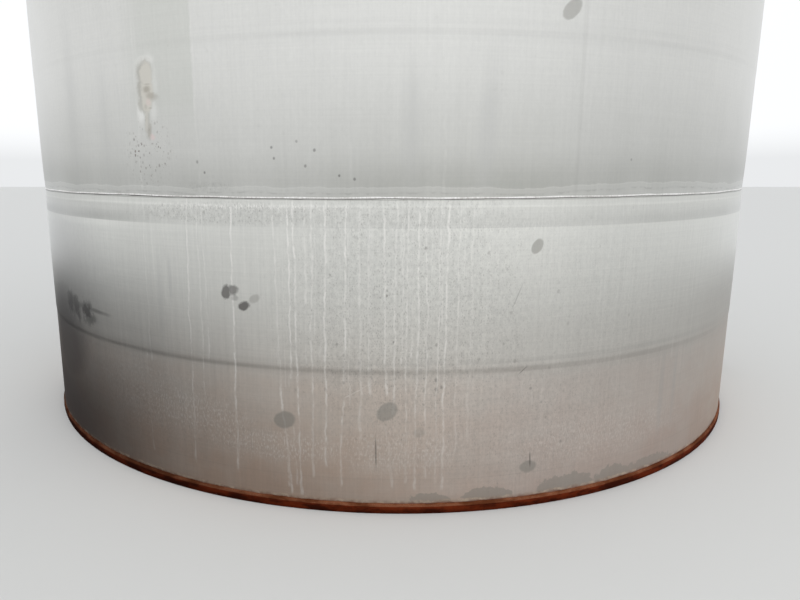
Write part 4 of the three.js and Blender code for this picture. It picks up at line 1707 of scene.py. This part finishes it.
@dataclass
class Shell(Assembly):
    """The five courses and the welds between their plates."""

    seam_width: float = 0.0085
    seam_rise: float = 0.0018
    flush_rise: float = 0.0002  # height of the cap of a seam that was ground
    girth_lift: float = 0.002  # how far a girth weld's cap lies over the joint
    close_courses: int = 2  # how many courses are seen from close by and have finer grids
    slot: ClassVar[Slot] = Slot.SHELL

    def __post_init__(self) -> None:
        """Works out the relief, and the side, first flat and number of flats of every plate."""
        self.relief = ShellRelief(self.form)
        half = self.form.flats // 2
        odd = (("back", 16, half), ("front", 64, half))
        even = (("right", 0, half), ("left", 48, half))
        self.plates = {course: odd if course % 2 else even for course in range(2, self.form.courses + 1)}
        self.plates[1] = (("right", 16, 22), ("back", 38, 12), ("left", 50, 14), ("front", 64, half))

    def build(self) -> None:
        """Builds the plates, the upright seams and the girth welds."""
        for course, plates in self.plates.items():
            for side, first, count in plates:
                self._plate(course, side, first, count)
                self._seam(course, side, first)
        for course in range(2, self.form.courses + 1):
            self._girth(course)

    def _plate(self, course: int, side: str, first: int, count: int) -> None:
        """One plate: an outer face with the relief, an inner one a thickness in, closed all round.

        Args:
            course: Its course.
            side: Its side, which its names end with.
            first: The flat where it starts.
            count: How many flats it covers.
        """
        form = self.form
        columns, fine, coarse = (5, 0.004, 0.022) if course <= self.close_courses else (3, 0.009, 0.045)
        angles = form.angles(first, count, columns)
        rows = self.relief.rows(course, fine, coarse)
        offset = self.relief.offset(angles[:, None], rows[None, :])
        outer = np.stack([form.radius + offset, np.broadcast_to(rows, offset.shape)], axis=-1)
        inner = outer[:, [-1, 0]] - (form.plate, 0.0)
        grid = carried(np.concatenate([outer, inner], axis=1), hoop(angles))
        piece = Skin().add(grid, ring=False).to_object(f"plate_{course}_{side}")
        piece = self._with_holes(piece, course, angles)
        self.dress(piece, self._material(course), f"shell_course_{course}_{side}")

    def _material(self, course: int) -> Material:
        """The finish of a course."""
        own = {1: self.finishes.bottom_shell, 2: self.finishes.second_shell}
        return own.get(course, self.finishes.shell)

    def _with_holes(self, piece: Object, course: int, angles: Array) -> Object:
        """Cuts the holes of the fittings that pass through a plate.

        Args:
            piece: The plate.
            course: Its course.
            angles: Angles of its columns.

        Returns:
            The plate with its holes.
        """
        form = self.form
        foot = form.course_foot(course)
        holes = []
        for fitting in SHELL_FITTINGS:
            turn = math.radians(fitting.degrees)
            inside = angles[0] < turn < angles[-1] or angles[0] < turn + TURN < angles[-1]
            if inside and foot < fitting.height < foot + form.course_height:
                holes.append(plug(fitting.place, fitting.radius + form.fit_gap, form.inside - 0.2,
                                  form.radius + 0.2))
        return punched(piece, holes) if holes else piece

    def _seam(self, course: int, side: str, first: int) -> None:
        """The upright weld at the start of a plate. The front one of course 2 was ground.

        Args:
            course: The plate's course.
            side: The plate's side.
            first: The flat where it starts.
        """
        rows = self.relief.rows(course, 0.008, 0.03)
        angle = self.form.seam_angle(first)
        out, across = directions(angle)
        radius = self.form.radius + self.relief.offset(np.full_like(rows, angle), rows)
        stem = hoop(np.full_like(rows, angle), radius, rows)
        ground = course == 2 and first == 0
        profile = weld_cap(self.seam_width, self.flush_rise if ground else self.seam_rise)
        grid = carried(profile, straight(stem.points, out, across))
        piece = Skin().add(grid, ring=False).to_object(f"seam_{course}_{side}", crease=60.0)
        self.dress(piece, self._material(course) if ground else self.finishes.weld)

    def _girth(self, course: int) -> None:
        """The girth weld at a course's foot, whose width and height waver a little.

        Args:
            course: The course over the weld.
        """
        form = self.form
        angles = form.turn(8)
        foot = form.course_foot(course)
        radius = form.radius + self.relief.offset(angles, np.full_like(angles, foot))
        level = foot + self.girth_lift + 0.0012 * waves(angles, (7, 13, 22, 37), 49 + course)
        size = 1 + 0.16 * waves(angles, (41, 67, 93, 140), 59 + course)
        profile = weld_cap(self.seam_width, self.seam_rise)[None] * size[:, None, None]
        self.weld(f"girth_weld_{course - 1}", Skin().add(carried(profile, hoop(angles, radius, level))))


@dataclass
class Foot(Assembly):
    """The rusted ring, its weld to the shell, and the floor plate."""

    seam: int = 24  # flat at which the two half rings meet
    weld_rise: float = 0.0095  # height of the foot weld on the shell
    scale: float = 0.0012  # how rough the rust scale is
    slot: ClassVar[Slot] = Slot.RUST

    def build(self) -> None:
        """Builds the ring's halves and the weld, and dresses the floor plate."""
        half = self.form.flats // 2
        for name, first in (("base_ring_back", self.seam), ("base_ring_front", self.seam + half)):
            self._half_ring(name, first, half)
        self._weld()
        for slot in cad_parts["floor_plate"].material_slots:
            slot.material = self.finishes.shell

    def _half_ring(self, node: str, first: int, count: int) -> None:
        """Half a ring of flat bar with rounded edges, its faces roughened by rust scale.

        Args:
            node: The CAD node.
            first: The flat where it starts.
            count: How many flats it covers.
        """
        form = self.form
        outside = form.radius + form.ring_proud - self.scale * 0.6
        inside = form.radius + form.ring_proud - form.ring_width
        profile = resampled(box_profile((inside, 0.0), (outside, form.foot), 0.002, 4), 0.0035)
        path = hoop(form.angles(first, count, 12))
        grid = carried(profile, path)
        away = smooth_step(profile[:, 1], 0.0, 0.004) * smooth_step(profile[:, 0], inside, outside)
        rough = lattice_noise(grid, 0.018, 5) * 0.65 + lattice_noise(grid, 0.007, 6) * 0.35
        grid = grid + path.across[:, None] * (rough * self.scale * away)[..., None]
        piece = Skin().add(grid, ring=False).to_object(f"{node}_bar", crease=50.0)
        self.dress(piece, self.finishes.rust, node)

    def _weld(self) -> None:
        """The fillet weld between the ring's top and the shell, lumpy and rusted."""
        form = self.form
        angles = form.turn(14)
        rise = 1 + 0.10 * waves(angles, (61, 97, 151, 233), 71)
        profile = weld_fillet(form.ring_proud - 0.0006, self.weld_rise)
        profile = profile[None] * np.stack([np.ones_like(rise), rise], axis=1)[:, None]
        grid = carried(profile, hoop(angles, form.radius, form.foot - 0.0003))
        self.dress(Skin().add(grid).to_object("foot_weld", crease=60.0), self.finishes.rusted_weld)


@dataclass
class Curb(Assembly):
    """The angle round the top of the shell, in two halves."""

    seam: int = 20  # flat at which the halves meet
    leg: float = 0.050
    thickness: float = 0.006

    def build(self) -> None:
        """Builds the halves and the weld under them."""
        form = self.form
        half = form.flats // 2
        foot = form.top - self.leg
        inside = form.radius + form.fit_gap
        wall = inside + self.thickness
        ledge = form.top - self.thickness
        legs = [[inside, foot], [wall, foot], [wall, ledge], [inside + self.leg, ledge],
                [inside + self.leg, form.top], [inside, form.top]]
        for side, first in (("back", self.seam), ("front", self.seam + half)):
            grid = carried(rounded(legs, 0.0025), hoop(form.angles(first, half, 5)))
            self.steel(f"curb_{side}", Skin().add(grid, ring=False), f"curb_angle_{side}")
        corner = hoop(form.turn(5), form.radius, foot)
        path = Path(corner.points, corner.across, -corner.up)
        weld = weld_fillet(self.thickness, self.thickness, 0.004)
        self.weld("curb_weld", Skin().add(carried(weld, path)))


@dataclass
class Roof(Assembly):
    """The cone roof: six plates, the crown plate over their inner ends, and their welds."""

    hatch: Place
    hatch_radius: float  # radius of the hatch's neck
    plates: int = 6
    hole: float = 0.270  # radius at which the plates end under the crown
    crown: float = 0.330  # radius of the crown plate
    crown_leg: float = 0.006  # leg of the crown's weld
    seam_width: float = 0.010
    seam_rise: float = 0.0018
    vent_radius: float = 0.084
    buckle: float = 0.003  # how far the plates are out of true
    slot: ClassVar[Slot] = Slot.ROOF

    def build(self) -> None:
        """Builds the plates, their seams, the crown and the weld round it."""
        for number in range(self.plates):
            self._plate(number)
            self._seam(number)
        self._crown()

    def _surface(self, angle: Array, radius: Array) -> Array:
        """Height of the plates' underside: the cone and slow buckles that die out at both edges.

        Args:
            angle: Angles in radians.
            radius: Distances from the axis.

        Returns:
            The heights.
        """
        form = self.form
        t = np.clip((radius - self.hole) / (form.roof_edge - self.hole), 0.0, 1.0)
        waved = waves(angle, (4, 7, 11, 14), 31, radius, 1.3)
        away = np.hypot(radius * np.sin(angle) - self.hatch.origin[0],
                        -radius * np.cos(angle) - self.hatch.origin[1])
        calm = smooth_step(away, self.hatch_radius, self.hatch_radius + 0.2)
        return form.roof_underside(radius) + self.buckle * waved * np.sin(math.pi * t) ** 2 * calm

    def _plate(self, number: int) -> None:
        """One plate of the cone, with the hatch's hole where it has one.

        Args:
            number: Its number, from 0.
        """
        form = self.form
        count = form.flats // self.plates
        angles = form.angles(number * count, count, 4)
        radii = np.linspace(self.hole, form.roof_edge - 0.0005, 28)
        low = self._surface(angles[:, None], radii[None])
        radial = np.broadcast_to(radii, low.shape)
        under = np.stack([radial, low], axis=-1)
        over = np.stack([radial, low + form.roof_plate], axis=-1)[:, ::-1]
        grid = carried(np.concatenate([under, over], axis=1), hoop(angles))
        piece = Skin().add(grid, ring=False).to_object(f"roof_sheet_{number + 1}")
        turn = math.atan2(self.hatch.origin[0], -self.hatch.origin[1])
        if angles[0] < turn % TURN < angles[-1]:
            cutter = plug(self.hatch, self.hatch_radius + form.fit_gap, form.top - 0.2, form.top + 0.8)
            piece = punched(piece, [cutter])
        self.dress(piece, self.finishes.roof, f"roof_plate_{number + 1}")

    def _seam(self, number: int) -> None:
        """The weld between two plates, from the crown to the edge.

        Args:
            number: Number of the plate that starts there.
        """
        form = self.form
        radii = np.linspace(self.crown - 0.02, form.roof_edge - 0.004, 60)
        turn = np.full_like(radii, form.seam_angle(number * form.flats // self.plates))
        path = hoop(turn, radii, self._surface(turn, radii) + form.roof_plate)
        across = np.stack([np.cos(turn), np.sin(turn), turn * 0], axis=1)
        size = 1 + 0.15 * waves(radii, (60, 97, 141), 80 + number)
        profile = weld_cap(self.seam_width, self.seam_rise)[None] * size[:, None, None]
        grid = carried(profile, Path(path.points, path.up, across))
        self.weld(f"roof_seam_{number + 1}", Skin().add(grid, ring=False))

    def _crown(self) -> None:
        """The crown plate, lapped over the roof plates, and the weld round its edge."""
        form = self.form
        inner = self.vent_radius + form.fit_gap
        low = form.roof_underside(self.crown) + form.roof_plate + form.fit_gap
        rise = (self.crown - inner) * form.roof_slope
        corners = [[inner, low + rise], [self.crown, low], [self.crown, low + form.roof_plate],
                   [inner, low + rise + form.roof_plate]]
        piece = Skin().add(turned(rounded(corners, 0.001, 3), 192)).to_object("crown_sheet")
        self.dress(piece, self.finishes.roof, "roof_crown_plate")
        angles = form.turn(2)
        size = 1 + 0.1 * waves(angles, (31, 47, 71), 91)
        profile = weld_fillet(self.crown_leg, form.roof_plate, 0.003)[None] * size[:, None, None]
        path = hoop(angles, self.crown, low - form.fit_gap)
        self.weld("crown_weld", Skin().add(carried(profile, path)))


@dataclass
class Vent(Assembly):
    """The pipe in the middle of the roof and the hood that stands over it on straps."""

    radius: float = 0.084
    wall: float = 0.007
    stand: float = 0.160  # height of the pipe over the roof
    tail: float = 0.025  # length of the pipe under the roof
    hood_radius: float = 0.175
    skirt: float = 0.045
    sheet: float = 0.003
    hood_rise: float = 0.045  # rise of the hood's cone
    lift: float = 0.050  # height of the hood's eaves over the pipe
    straps: int = 3
    strap_width: float = 0.030
    strap_thickness: float = 0.006
    strap_lap: float = 0.070  # length of a strap on the pipe
    leg: float = 0.007  # leg of the weld at the pipe's foot

    def build(self) -> None:
        """Builds the pipe, the hood with its straps, and the weld at the pipe's foot."""
        form = self.form
        roof = form.roof_underside(self.radius) + form.roof_plate
        top = roof + self.stand
        place = Place.upright(0.0, 0.0)
        pipe = box_profile((self.radius - self.wall, roof - self.tail), (self.radius, top), 0.0015)
        self.steel("vent_pipe", Skin().add(turned(pipe, 96)), "vent_neck", place)
        foot = roof + form.roof_plate + form.fit_gap
        weld = weld_fillet(self.leg, self.leg, 0.003) + (self.radius, foot - 0.001)
        self.weld("vent_weld", Skin().add(turned(weld, 96)), place)
        self._hood(top, place)

    def _hood(self, top: float, place: Place) -> None:
        """The hood: a shallow cone with a skirt, both of thin sheet, and three straps down to the pipe.

        Args:
            top: Height of the pipe's end.
            place: Where the vent stands.
        """
        eaves = top + self.lift
        rim, rise, sheet = self.hood_radius, self.hood_rise, self.sheet
        hem = eaves - self.skirt
        cone = np.array([[0.0, eaves + rise], [rim * 0.94, eaves + rise * 0.06], [rim * 0.985, eaves - 0.001],
                         [rim, eaves - 0.006], [rim, hem + 0.001], [rim - 0.0015, hem],
                         [rim - sheet, hem + 0.001], [rim - sheet, eaves - sheet],
                         [0.0, eaves + rise - sheet]])
        skin = Skin().add(turned(cone, 128), profile=False)
        head = eaves + rise * (1 - self.radius / rim) - sheet
        low = self.radius + self.form.fit_gap
        bar = box_profile((low, top - self.strap_lap), (low + self.strap_thickness, head), 0.001)
        sides = np.array([[-0.5, 0.0, 0.0], [0.5, 0.0, 0.0]]) * self.strap_width
        strap = carried(bar, straight(sides, (0.0, -1.0, 0.0), (0.0, 0.0, 1.0)))
        skin.add_round(strap, self.straps, ring=False)
        self.steel("vent_cowl", skin, "vent_hood", place)


@dataclass
class Opening(Assembly):
    """A round neck with a loose flange, a gasket and a bolted cover."""

    name: ClassVar[str]  # first part of its pieces' names
    node: ClassVar[str]  # first part of its nodes' names
    columns: ClassVar[tuple[int, int]]  # how many go round the neck and round the flange
    radius: float
    wall: float
    flange_radius: float
    flange: float  # thickness of the flange and the cover
    edge: float  # rounding of both
    gasket: float
    gasket_edge: float
    lap: float  # how far the gasket reaches into the neck
    inset: float  # how far it ends inside the flange's rim
    leg: float  # leg of the neck's weld
    bolt: Fastener
    bolts: tuple[float, int]  # radius of their circle and their number

    def shut(self, place: Place, low: float, face: float) -> tuple[tuple[float, int], tuple[float, int]]:
        """Builds the neck, the flange, the gasket and the cover.

        Args:
            place: Where the opening stands.
            low: Level of the neck's end.
            face: Level of the neck's face and the flange's.

        Returns:
            Level and facing of the bolts on the cover, and of those behind the flange.
        """
        form, name, radius, rim = self.form, self.name, self.radius, self.flange_radius
        around, wide = self.columns
        under = face - self.flange
        seat = face + self.gasket
        top = face + form.fit_gap + self.flange
        neck = turned(box_profile((radius - self.wall, low), (radius, face), 0.001), around)
        self.steel(f"{name}_pipe", Skin().add(neck), f"{self.node}_neck", place)
        flange = turned(box_profile((radius + form.fit_gap, under), (rim, face), self.edge), wide)
        self.steel(f"{name}_ring", Skin().add(flange), f"{self.node}_flange", place)
        sheet = box_profile((radius - self.lap, face), (rim - self.inset, seat), self.gasket_edge)
        self.seal(f"{name}_gasket", sheet, around, place)
        cover = turned(disc_profile(rim, seat, top, self.edge), wide)
        self.steel(f"{name}_lid", Skin().add(cover, profile=False), f"{self.node}_cover", place)
        return (top, 1), (under, -1)


@dataclass
class Hatch(Opening):
    """The hatch on the roof."""

    name: ClassVar[str] = "hatch"
    node: ClassVar[str] = "roof_hatch"
    columns: ClassVar[tuple[int, int]] = (128, 160)
    radius: float = 0.254
    wall: float = 0.006
    flange_radius: float = 0.315
    flange: float = 0.010
    edge: float = 0.0015
    gasket: float = 0.002
    gasket_edge: float = 0.0005
    lap: float = 0.020
    inset: float = 0.003
    leg: float = 0.008
    bolt: Fastener = Fastener(0.024, 0.010)
    bolts: tuple[float, int] = (0.290, 16)
    degrees: float = 180.0
    distance: float = 1.300  # from the tank's axis
    stand: float = 0.130  # height of the neck over the roof
    tail: float = 0.010  # length of the neck under the roof

    @property
    def place(self) -> Place:
        """Where the hatch stands."""
        return Place.upright(self.degrees, self.distance)

    def build(self) -> None:
        """Builds the neck and what shuts it, the bolts and the foot weld."""
        low = self.form.roof_underside(self.distance + self.radius) - self.tail
        face = self.form.roof_underside(self.distance) + self.stand
        self.fasten("hatch_bolts", self.bolt, self.bolts, self.shut(self.place, low, face), self.place)
        self._foot_weld()

    def _foot_weld(self) -> None:
        """The weld round the neck, which follows the slope of the roof."""
        form = self.form
        ring = hoop(np.linspace(0.0, TURN, 128, endpoint=False), self.radius)
        away = np.hypot(*(ring.points + self.place.origin)[:, :2].T)
        height = form.roof_underside(away) + form.roof_plate
        path = Path(ring.points + ring.up * height[:, None], ring.across, ring.up)
        weld = weld_fillet(self.leg, self.leg, 0.004)
        self.weld("hatch_weld", Skin().add(carried(weld, path)), self.place)


@dataclass(frozen=True)
class Saddle:
    """Shapes that stand on the shell round a fitting's axis.

    A point at distance r from the axis, at turn t and height h over the shell lies at local
    x = r cos t, y = r sin t, z = sqrt((R + h)^2 - x^2).
    """

    radius: float

    def grid(self, profile: Array, segments: int) -> Array:
        """A closed grid of a profile of (distance, height over the shell) points.

        Args:
            profile: The profile.
            segments: How many stations there are.

        Returns:
            The grid.
        """
        t = np.linspace(0.0, TURN, segments, endpoint=False)[:, None]
        x = np.cos(t) * profile[None, :, 0]
        y = np.sin(t) * profile[None, :, 0]
        z = np.sqrt((self.radius + profile[None, :, 1]) ** 2 - x ** 2)
        return np.stack([x, y, z], axis=-1)


@dataclass
class Manway(Opening):
    """The manway low in the back of the shell, on a pad."""

    name: ClassVar[str] = "manway"
    node: ClassVar[str] = "manway"
    columns: ClassVar[tuple[int, int]] = (160, 192)
    radius: float = MANWAY.radius
    wall: float = 0.006
    flange_radius: float = 0.385
    flange: float = 0.014
    edge: float = 0.002
    gasket: float = 0.003
    gasket_edge: float = 0.0008
    lap: float = 0.010
    inset: float = 0.004
    leg: float = 0.009
    bolt: Fastener = Fastener(0.030, 0.0125, 0.0025)
    bolts: tuple[float, int] = (0.3575, 28)
    reach: float = 0.170  # how far the neck stands out of the shell
    tail: float = 0.030  # how far it stands into the tank
    pad_radius: float = 0.449

    def build(self) -> None:
        """Builds the pad, the neck and what shuts it, the bolts and both welds."""
        form, place, radius = self.form, MANWAY.place, self.radius
        saddle = Saddle(form.radius)
        around = self.columns[0]
        pad_top = form.fit_gap + form.plate
        pad = box_profile((radius + form.fit_gap, form.fit_gap), (self.pad_radius, pad_top), 0.001)
        self.steel("manway_doubler", Skin().add(saddle.grid(pad, around)), "manway_pad", place)
        heads, nuts = self.shut(place, form.inside - self.tail, form.radius + self.reach)
        for name, level in (("manway_bolts", nuts), ("manway_bolt_heads", heads)):
            self.fasten(name, self.bolt, self.bolts, [level], place)
        for name, leg, foot in (("manway_neck_weld", self.leg, (radius, pad_top)),
                                ("manway_pad_weld", form.plate, (self.pad_radius, 0.0))):
            self.weld(name, Skin().add(saddle.grid(weld_fillet(leg, leg, 0.004) + foot, around)), place)


@dataclass
class Nozzle(Assembly):
    """A short pipe with a flange, shut by a blind flange on studs."""

    name: str  # first part of its nodes' names
    fitting: Fitting
    wall: float = 0.006
    reach: float = 0.150  # how far the flange's face stands out of the shell
    tail: float = 0.012  # how far the pipe stands into the tank
    flange_radius: float = 0.1145
    flange: float = 0.024  # thickness of both flanges
    hub: float = 0.030
    raised: float = 0.0785  # radius of the raised faces
    gap: float = 0.0025  # room between the flanges outside them
    leg: float = 0.008  # leg of the weld on the shell
    stud: float = 0.0075  # radius of a stud
    nut: Fastener = Fastener(0.024, 0.0145, 0.002, 0.006)
    studs: tuple[float, int] = (0.09525, 8)  # radius of their circle and their number

    def build(self) -> None:
        """Builds the nozzle, its blind flange, gasket, studs and weld."""
        form, name, place, rim = self.form, self.name, self.fitting.place, self.flange_radius
        pipe = self.fitting.radius
        bore = pipe - self.wall
        face = form.radius + self.reach
        back = face - self.flange
        foot = form.inside - self.tail
        outline = [[bore, foot], [pipe, foot], [pipe, back - self.hub], [pipe + 0.009, back], [rim, back],
                   [rim, face - self.gap], [self.raised, face - self.gap], [self.raised, face], [bore, face]]
        neck = turned(rounded(outline, 0.0015, 3), 96)
        self.steel(f"{name}_pipe", Skin().add(neck), f"{name}_nozzle", place)
        inner = face + form.fit_gap
        seat = inner + self.gap
        top = inner + self.flange
        step = [[0.0, inner], [self.raised, inner], [self.raised, seat], [rim - 0.001, seat]]
        blind = turned(np.vstack([step, disc_profile(rim, seat, top, 0.002)[3:]]), 96)
        self.steel(f"{name}_blind", Skin().add(blind, profile=False), f"{name}_blind_flange", place)
        sheet = box_profile((pipe - 0.002, face - 0.0006), (self.raised - 0.0005, inner + 0.0006), 0.0004)
        self.seal(f"{name}_gasket", sheet, 96, place)
        self._studs(place, back, top)
        weld = weld_fillet(self.leg, self.leg, 0.005) + (pipe, 0.0)
        self.weld(f"{name}_weld", Skin().add(Saddle(form.radius).grid(weld, 96)), place)

    def _studs(self, place: Place, back: float, top: float) -> None:
        """Nuts and stud ends on both flanges, and the studs between them.

        Args:
            place: Where the nozzle stands.
            back: Level behind the neck's flange.
            top: Level behind the blind flange.
        """
        low, high, thread = back - 0.001, top + 0.001, self.stud
        shank = turned(np.array([[0.0, low], [thread, low], [thread, high], [0.0, high]]), 12)
        distance, count = self.studs
        shank = (shank + (distance, 0.0, 0.0)) @ spin(math.pi / count)
        skin = Skin().add_round(shank, count, profile=False)
        self.dress(skin.to_object(f"{self.name}_studs", place, 30.0), self.finishes.bolt)
        self.fasten(f"{self.name}_nuts", self.nut, self.studs, [(top, 1), (back, -1)], place)


@dataclass
class Lug(Assembly):
    """A lifting lug: a plate with an eye that stands out of the shell on a curved pad."""

    name: str  # name of its node
    flat: int  # flat at whose start it stands
    drop: float = 0.260  # how far its middle lies under the shell's top
    pad_height: float = 0.320
    pad: float = 0.006
    height: float = 0.200  # height of the plate at the pad
    reach: float = 0.090  # how far the eye's middle stands out of the pad
    thickness: float = 0.020
    eye: float = 0.026
    nose: float = 0.55  # radius of the plate's round end, as a share of half its height
    leg: float = 0.009  # leg of the weld on the pad

    def build(self) -> None:
        """Builds the pad with the plate, and the weld round the plate's root."""
        form = self.form
        middle = form.top - self.drop
        inside = form.radius + form.fit_gap
        outside = inside + self.pad
        half = self.pad_height / 2
        pad = box_profile((inside, middle - half), (outside, middle + half), 0.0012)
        skin = Skin().add(carried(pad, hoop(form.angles(self.flat - 1, 2, 6))), ring=False)
        skin.add(self._plate(middle, inside, outside))
        self.steel(f"{self.name}_plate", skin, self.name)
        self._root_weld(middle, outside)

    def _plate(self, middle: float, inside: float, outside: float) -> Array:
        """The plate with its eye, as a ring of stations round the eye.

        A station is a ray from the eye's middle. Its profile runs across the plate's thickness, out
        along one face and back along the other, from the eye's wall to the outline.

        Args:
            middle: Height of the eye.
            inside: Inner radius of the pad.
            outside: Outer radius of the pad.

        Returns:
            Grid of stations by profile points.
        """
        half = self.height / 2
        nose = half * self.nose
        tip = outside + self.reach
        turn = np.linspace(0.0, TURN, 72, endpoint=False)
        ray = np.stack([np.cos(turn), np.sin(turn)], axis=1)
        corners = np.array([[inside + 0.001 - tip, half], [outside - tip, half], [0.0, nose]])
        bend = np.linspace(math.pi / 2, -math.pi / 2, 25)[1:-1]
        arc = nose * np.stack([np.cos(bend), np.sin(bend)], axis=1)
        rim = ray * ray_reach(np.vstack([corners, arc, corners[::-1] * (1, -1)]), ray)[:, None]
        hole = ray * self.eye
        depth = self.thickness / 2
        edge = 0.0015
        layers = [(hole, -depth + edge), (hole + ray * edge, -depth), (rim - ray * edge, -depth),
                  (rim, -depth + edge), (rim, depth - edge), (rim - ray * edge, depth),
                  (hole + ray * edge, depth), (hole, depth - edge)]
        flat = np.stack([np.column_stack([tip + p[:, 0], np.full(len(p), d), middle + p[:, 1]])
                         for p, d in layers], axis=1)
        out, side = directions(self.form.seam_angle(self.flat))
        return flat @ np.array([out, side, (0.0, 0.0, 1.0)])

    def _root_weld(self, middle: float, outside: float) -> None:
        """The weld round the plate's root on the pad.

        Args:
            middle: Height of the plate's middle.
            outside: Outer radius of the pad.
        """
        out, side = directions(self.form.seam_angle(self.flat))
        face = np.array([side, (0.0, 0.0, 1.0)])
        half, depth = self.height / 2, self.thickness / 2
        outline = resampled(box_profile((-depth, -half), (depth, half), 0.003, 4), 0.006)
        ahead = np.roll(outline, -1, axis=0) - np.roll(outline, 1, axis=0)
        away = ahead[:, ::-1] * (1, -1)
        away /= np.linalg.norm(away, axis=1, keepdims=True)
        points = out * (outside - 0.0008) + outline @ face + (0.0, 0.0, middle)
        path = Path(points, away @ face, np.tile(out, (len(points), 1)))
        self.weld(f"{self.name}_weld", Skin().add(carried(weld_fillet(self.leg, self.leg, 0.003), path)))


@dataclass
class Studio:
    """Camera, floor and soft light."""

    finishes: Finishes
    picture: tuple[float, float] = (800.0, 600.0)  # width and height in pixels
    focal: float = 629.7  # in pixels
    middle: tuple[float, float] = (365.0, 292.83)  # pixel where the camera's axis meets the picture
    eye: Triple = (0.0, -4.447, 1.3655)
    pitch: float = 11.31  # how far the camera looks down, in degrees
    yaw: float = 1.99  # how far it is turned towards -X
    roll: float = 0.06
    floor_reach: float = 40.0
    floor_drop: float = 0.001  # how far the floor lies under the tank's foot
    lamp: Triple = (5.0, -9.0, 3.2)
    lamp_target: Triple = (0.2, 0.0, 0.8)
    lamp_size: float = 6.0
    lamp_power: float = 300.0
    lamp_colour: Triple = (1.0, 0.99, 0.97)

    def build(self) -> None:
        """Sets up the camera, the floor, the lamp and the world."""
        self._camera()
        self._floor()
        self._lamp()
        self._world()

    def _link(self, name: str, data: bpy.types.ID) -> Object:
        """Makes an object of some data and links it."""
        thing = bpy.data.objects.new(name, data)
        bpy.context.scene.collection.objects.link(thing)
        return thing

    def _camera(self) -> None:
        """The camera, with the lens and shift that give the picture its frame."""
        width, height = self.picture
        data = bpy.data.cameras.new("camera")
        data.sensor_width = 36.0
        data.lens = self.focal * data.sensor_width / width
        data.shift_x = (width / 2 - self.middle[0]) / width
        data.shift_y = (self.middle[1] - height / 2) / width
        data.clip_end = 200.0
        camera = self._link("camera", data)
        camera.location = self.eye
        camera.rotation_euler = [math.radians(a) for a in (90 - self.pitch, self.roll, self.yaw)]
        bpy.context.scene.camera = camera

    def _floor(self) -> None:
        """A plain floor under the tank."""
        mesh = bpy.data.meshes.new("studio_floor")
        sides = ((-1, -1), (1, -1), (1, 1), (-1, 1))
        corners = [(x * self.floor_reach, y * self.floor_reach, -self.floor_drop) for x, y in sides]
        mesh.from_pydata(corners, [], [[0, 1, 2, 3]])
        mesh.materials.append(self.finishes.floor)
        self._link("studio_floor", mesh)

    def _lamp(self) -> None:
        """A large soft lamp that looks at its target and doesn't show itself."""
        data = bpy.data.lights.new("key", "AREA")
        data.shape = "SQUARE"
        data.size = self.lamp_size
        data.energy = self.lamp_power
        data.color = self.lamp_colour
        lamp = self._link("key", data)
        lamp.location = self.lamp
        aim = np.array(self.lamp_target) - np.array(self.lamp)
        tilt = math.atan2(math.hypot(aim[0], aim[1]), -aim[2])
        lamp.rotation_euler = (tilt, 0.0, math.atan2(aim[1], aim[0]) - math.pi / 2)
        lamp.visible_camera = False
        lamp.visible_glossy = False

    def _world(self) -> None:
        """A pale surround whose light comes from above the horizon, as from a large soft dome."""
        world = bpy.data.worlds.new("studio")
        world.use_nodes = True
        graph = Graph(world.node_tree)
        background = world.node_tree.nodes["Background"]
        side, _, up = graph.parts(graph.step("ShaderNodeTexCoord", {}, "Generated"))
        fall = abs(side) ** 2.0 * (0.165 + side * 0.035)
        dome = up.span(-0.03, 0.06, 0.7, 1.0) * (1.07 - fall)
        seen = graph.step("ShaderNodeLightPath", {}, "Is Camera Ray")
        background.inputs["Color"].default_value = (0.97, 0.985, 1.0, 1.0)
        graph.feed(background.inputs["Strength"], graph.math("MAXIMUM", dome, seen * 0.85))
        bpy.context.scene.world = world
        bpy.context.scene.view_settings.view_transform = "Standard"


def main() -> None:
    """Builds the studio and the sub-assemblies."""
    logging.basicConfig(level=logging.INFO, format="%(message)s")
    form = TankForm.from_frame()
    finishes = Finishes(Effects(form))
    hatch = Hatch(form, finishes)
    Studio(finishes).build()
    Foot(form, finishes).build()
    Shell(form, finishes).build()
    Curb(form, finishes).build()
    Roof(form, finishes, hatch.place, hatch.radius).build()
    Vent(form, finishes).build()
    hatch.build()
    Manway(form, finishes).build()
    Nozzle(form, finishes, "outlet", OUTLET).build()
    Nozzle(form, finishes, "fill", FILL).build()
    Lug(form, finishes, "lifting_lug_right", 19).build()
    Lug(form, finishes, "lifting_lug_left", 67).build()


if __name__ == "__main__":
    main()
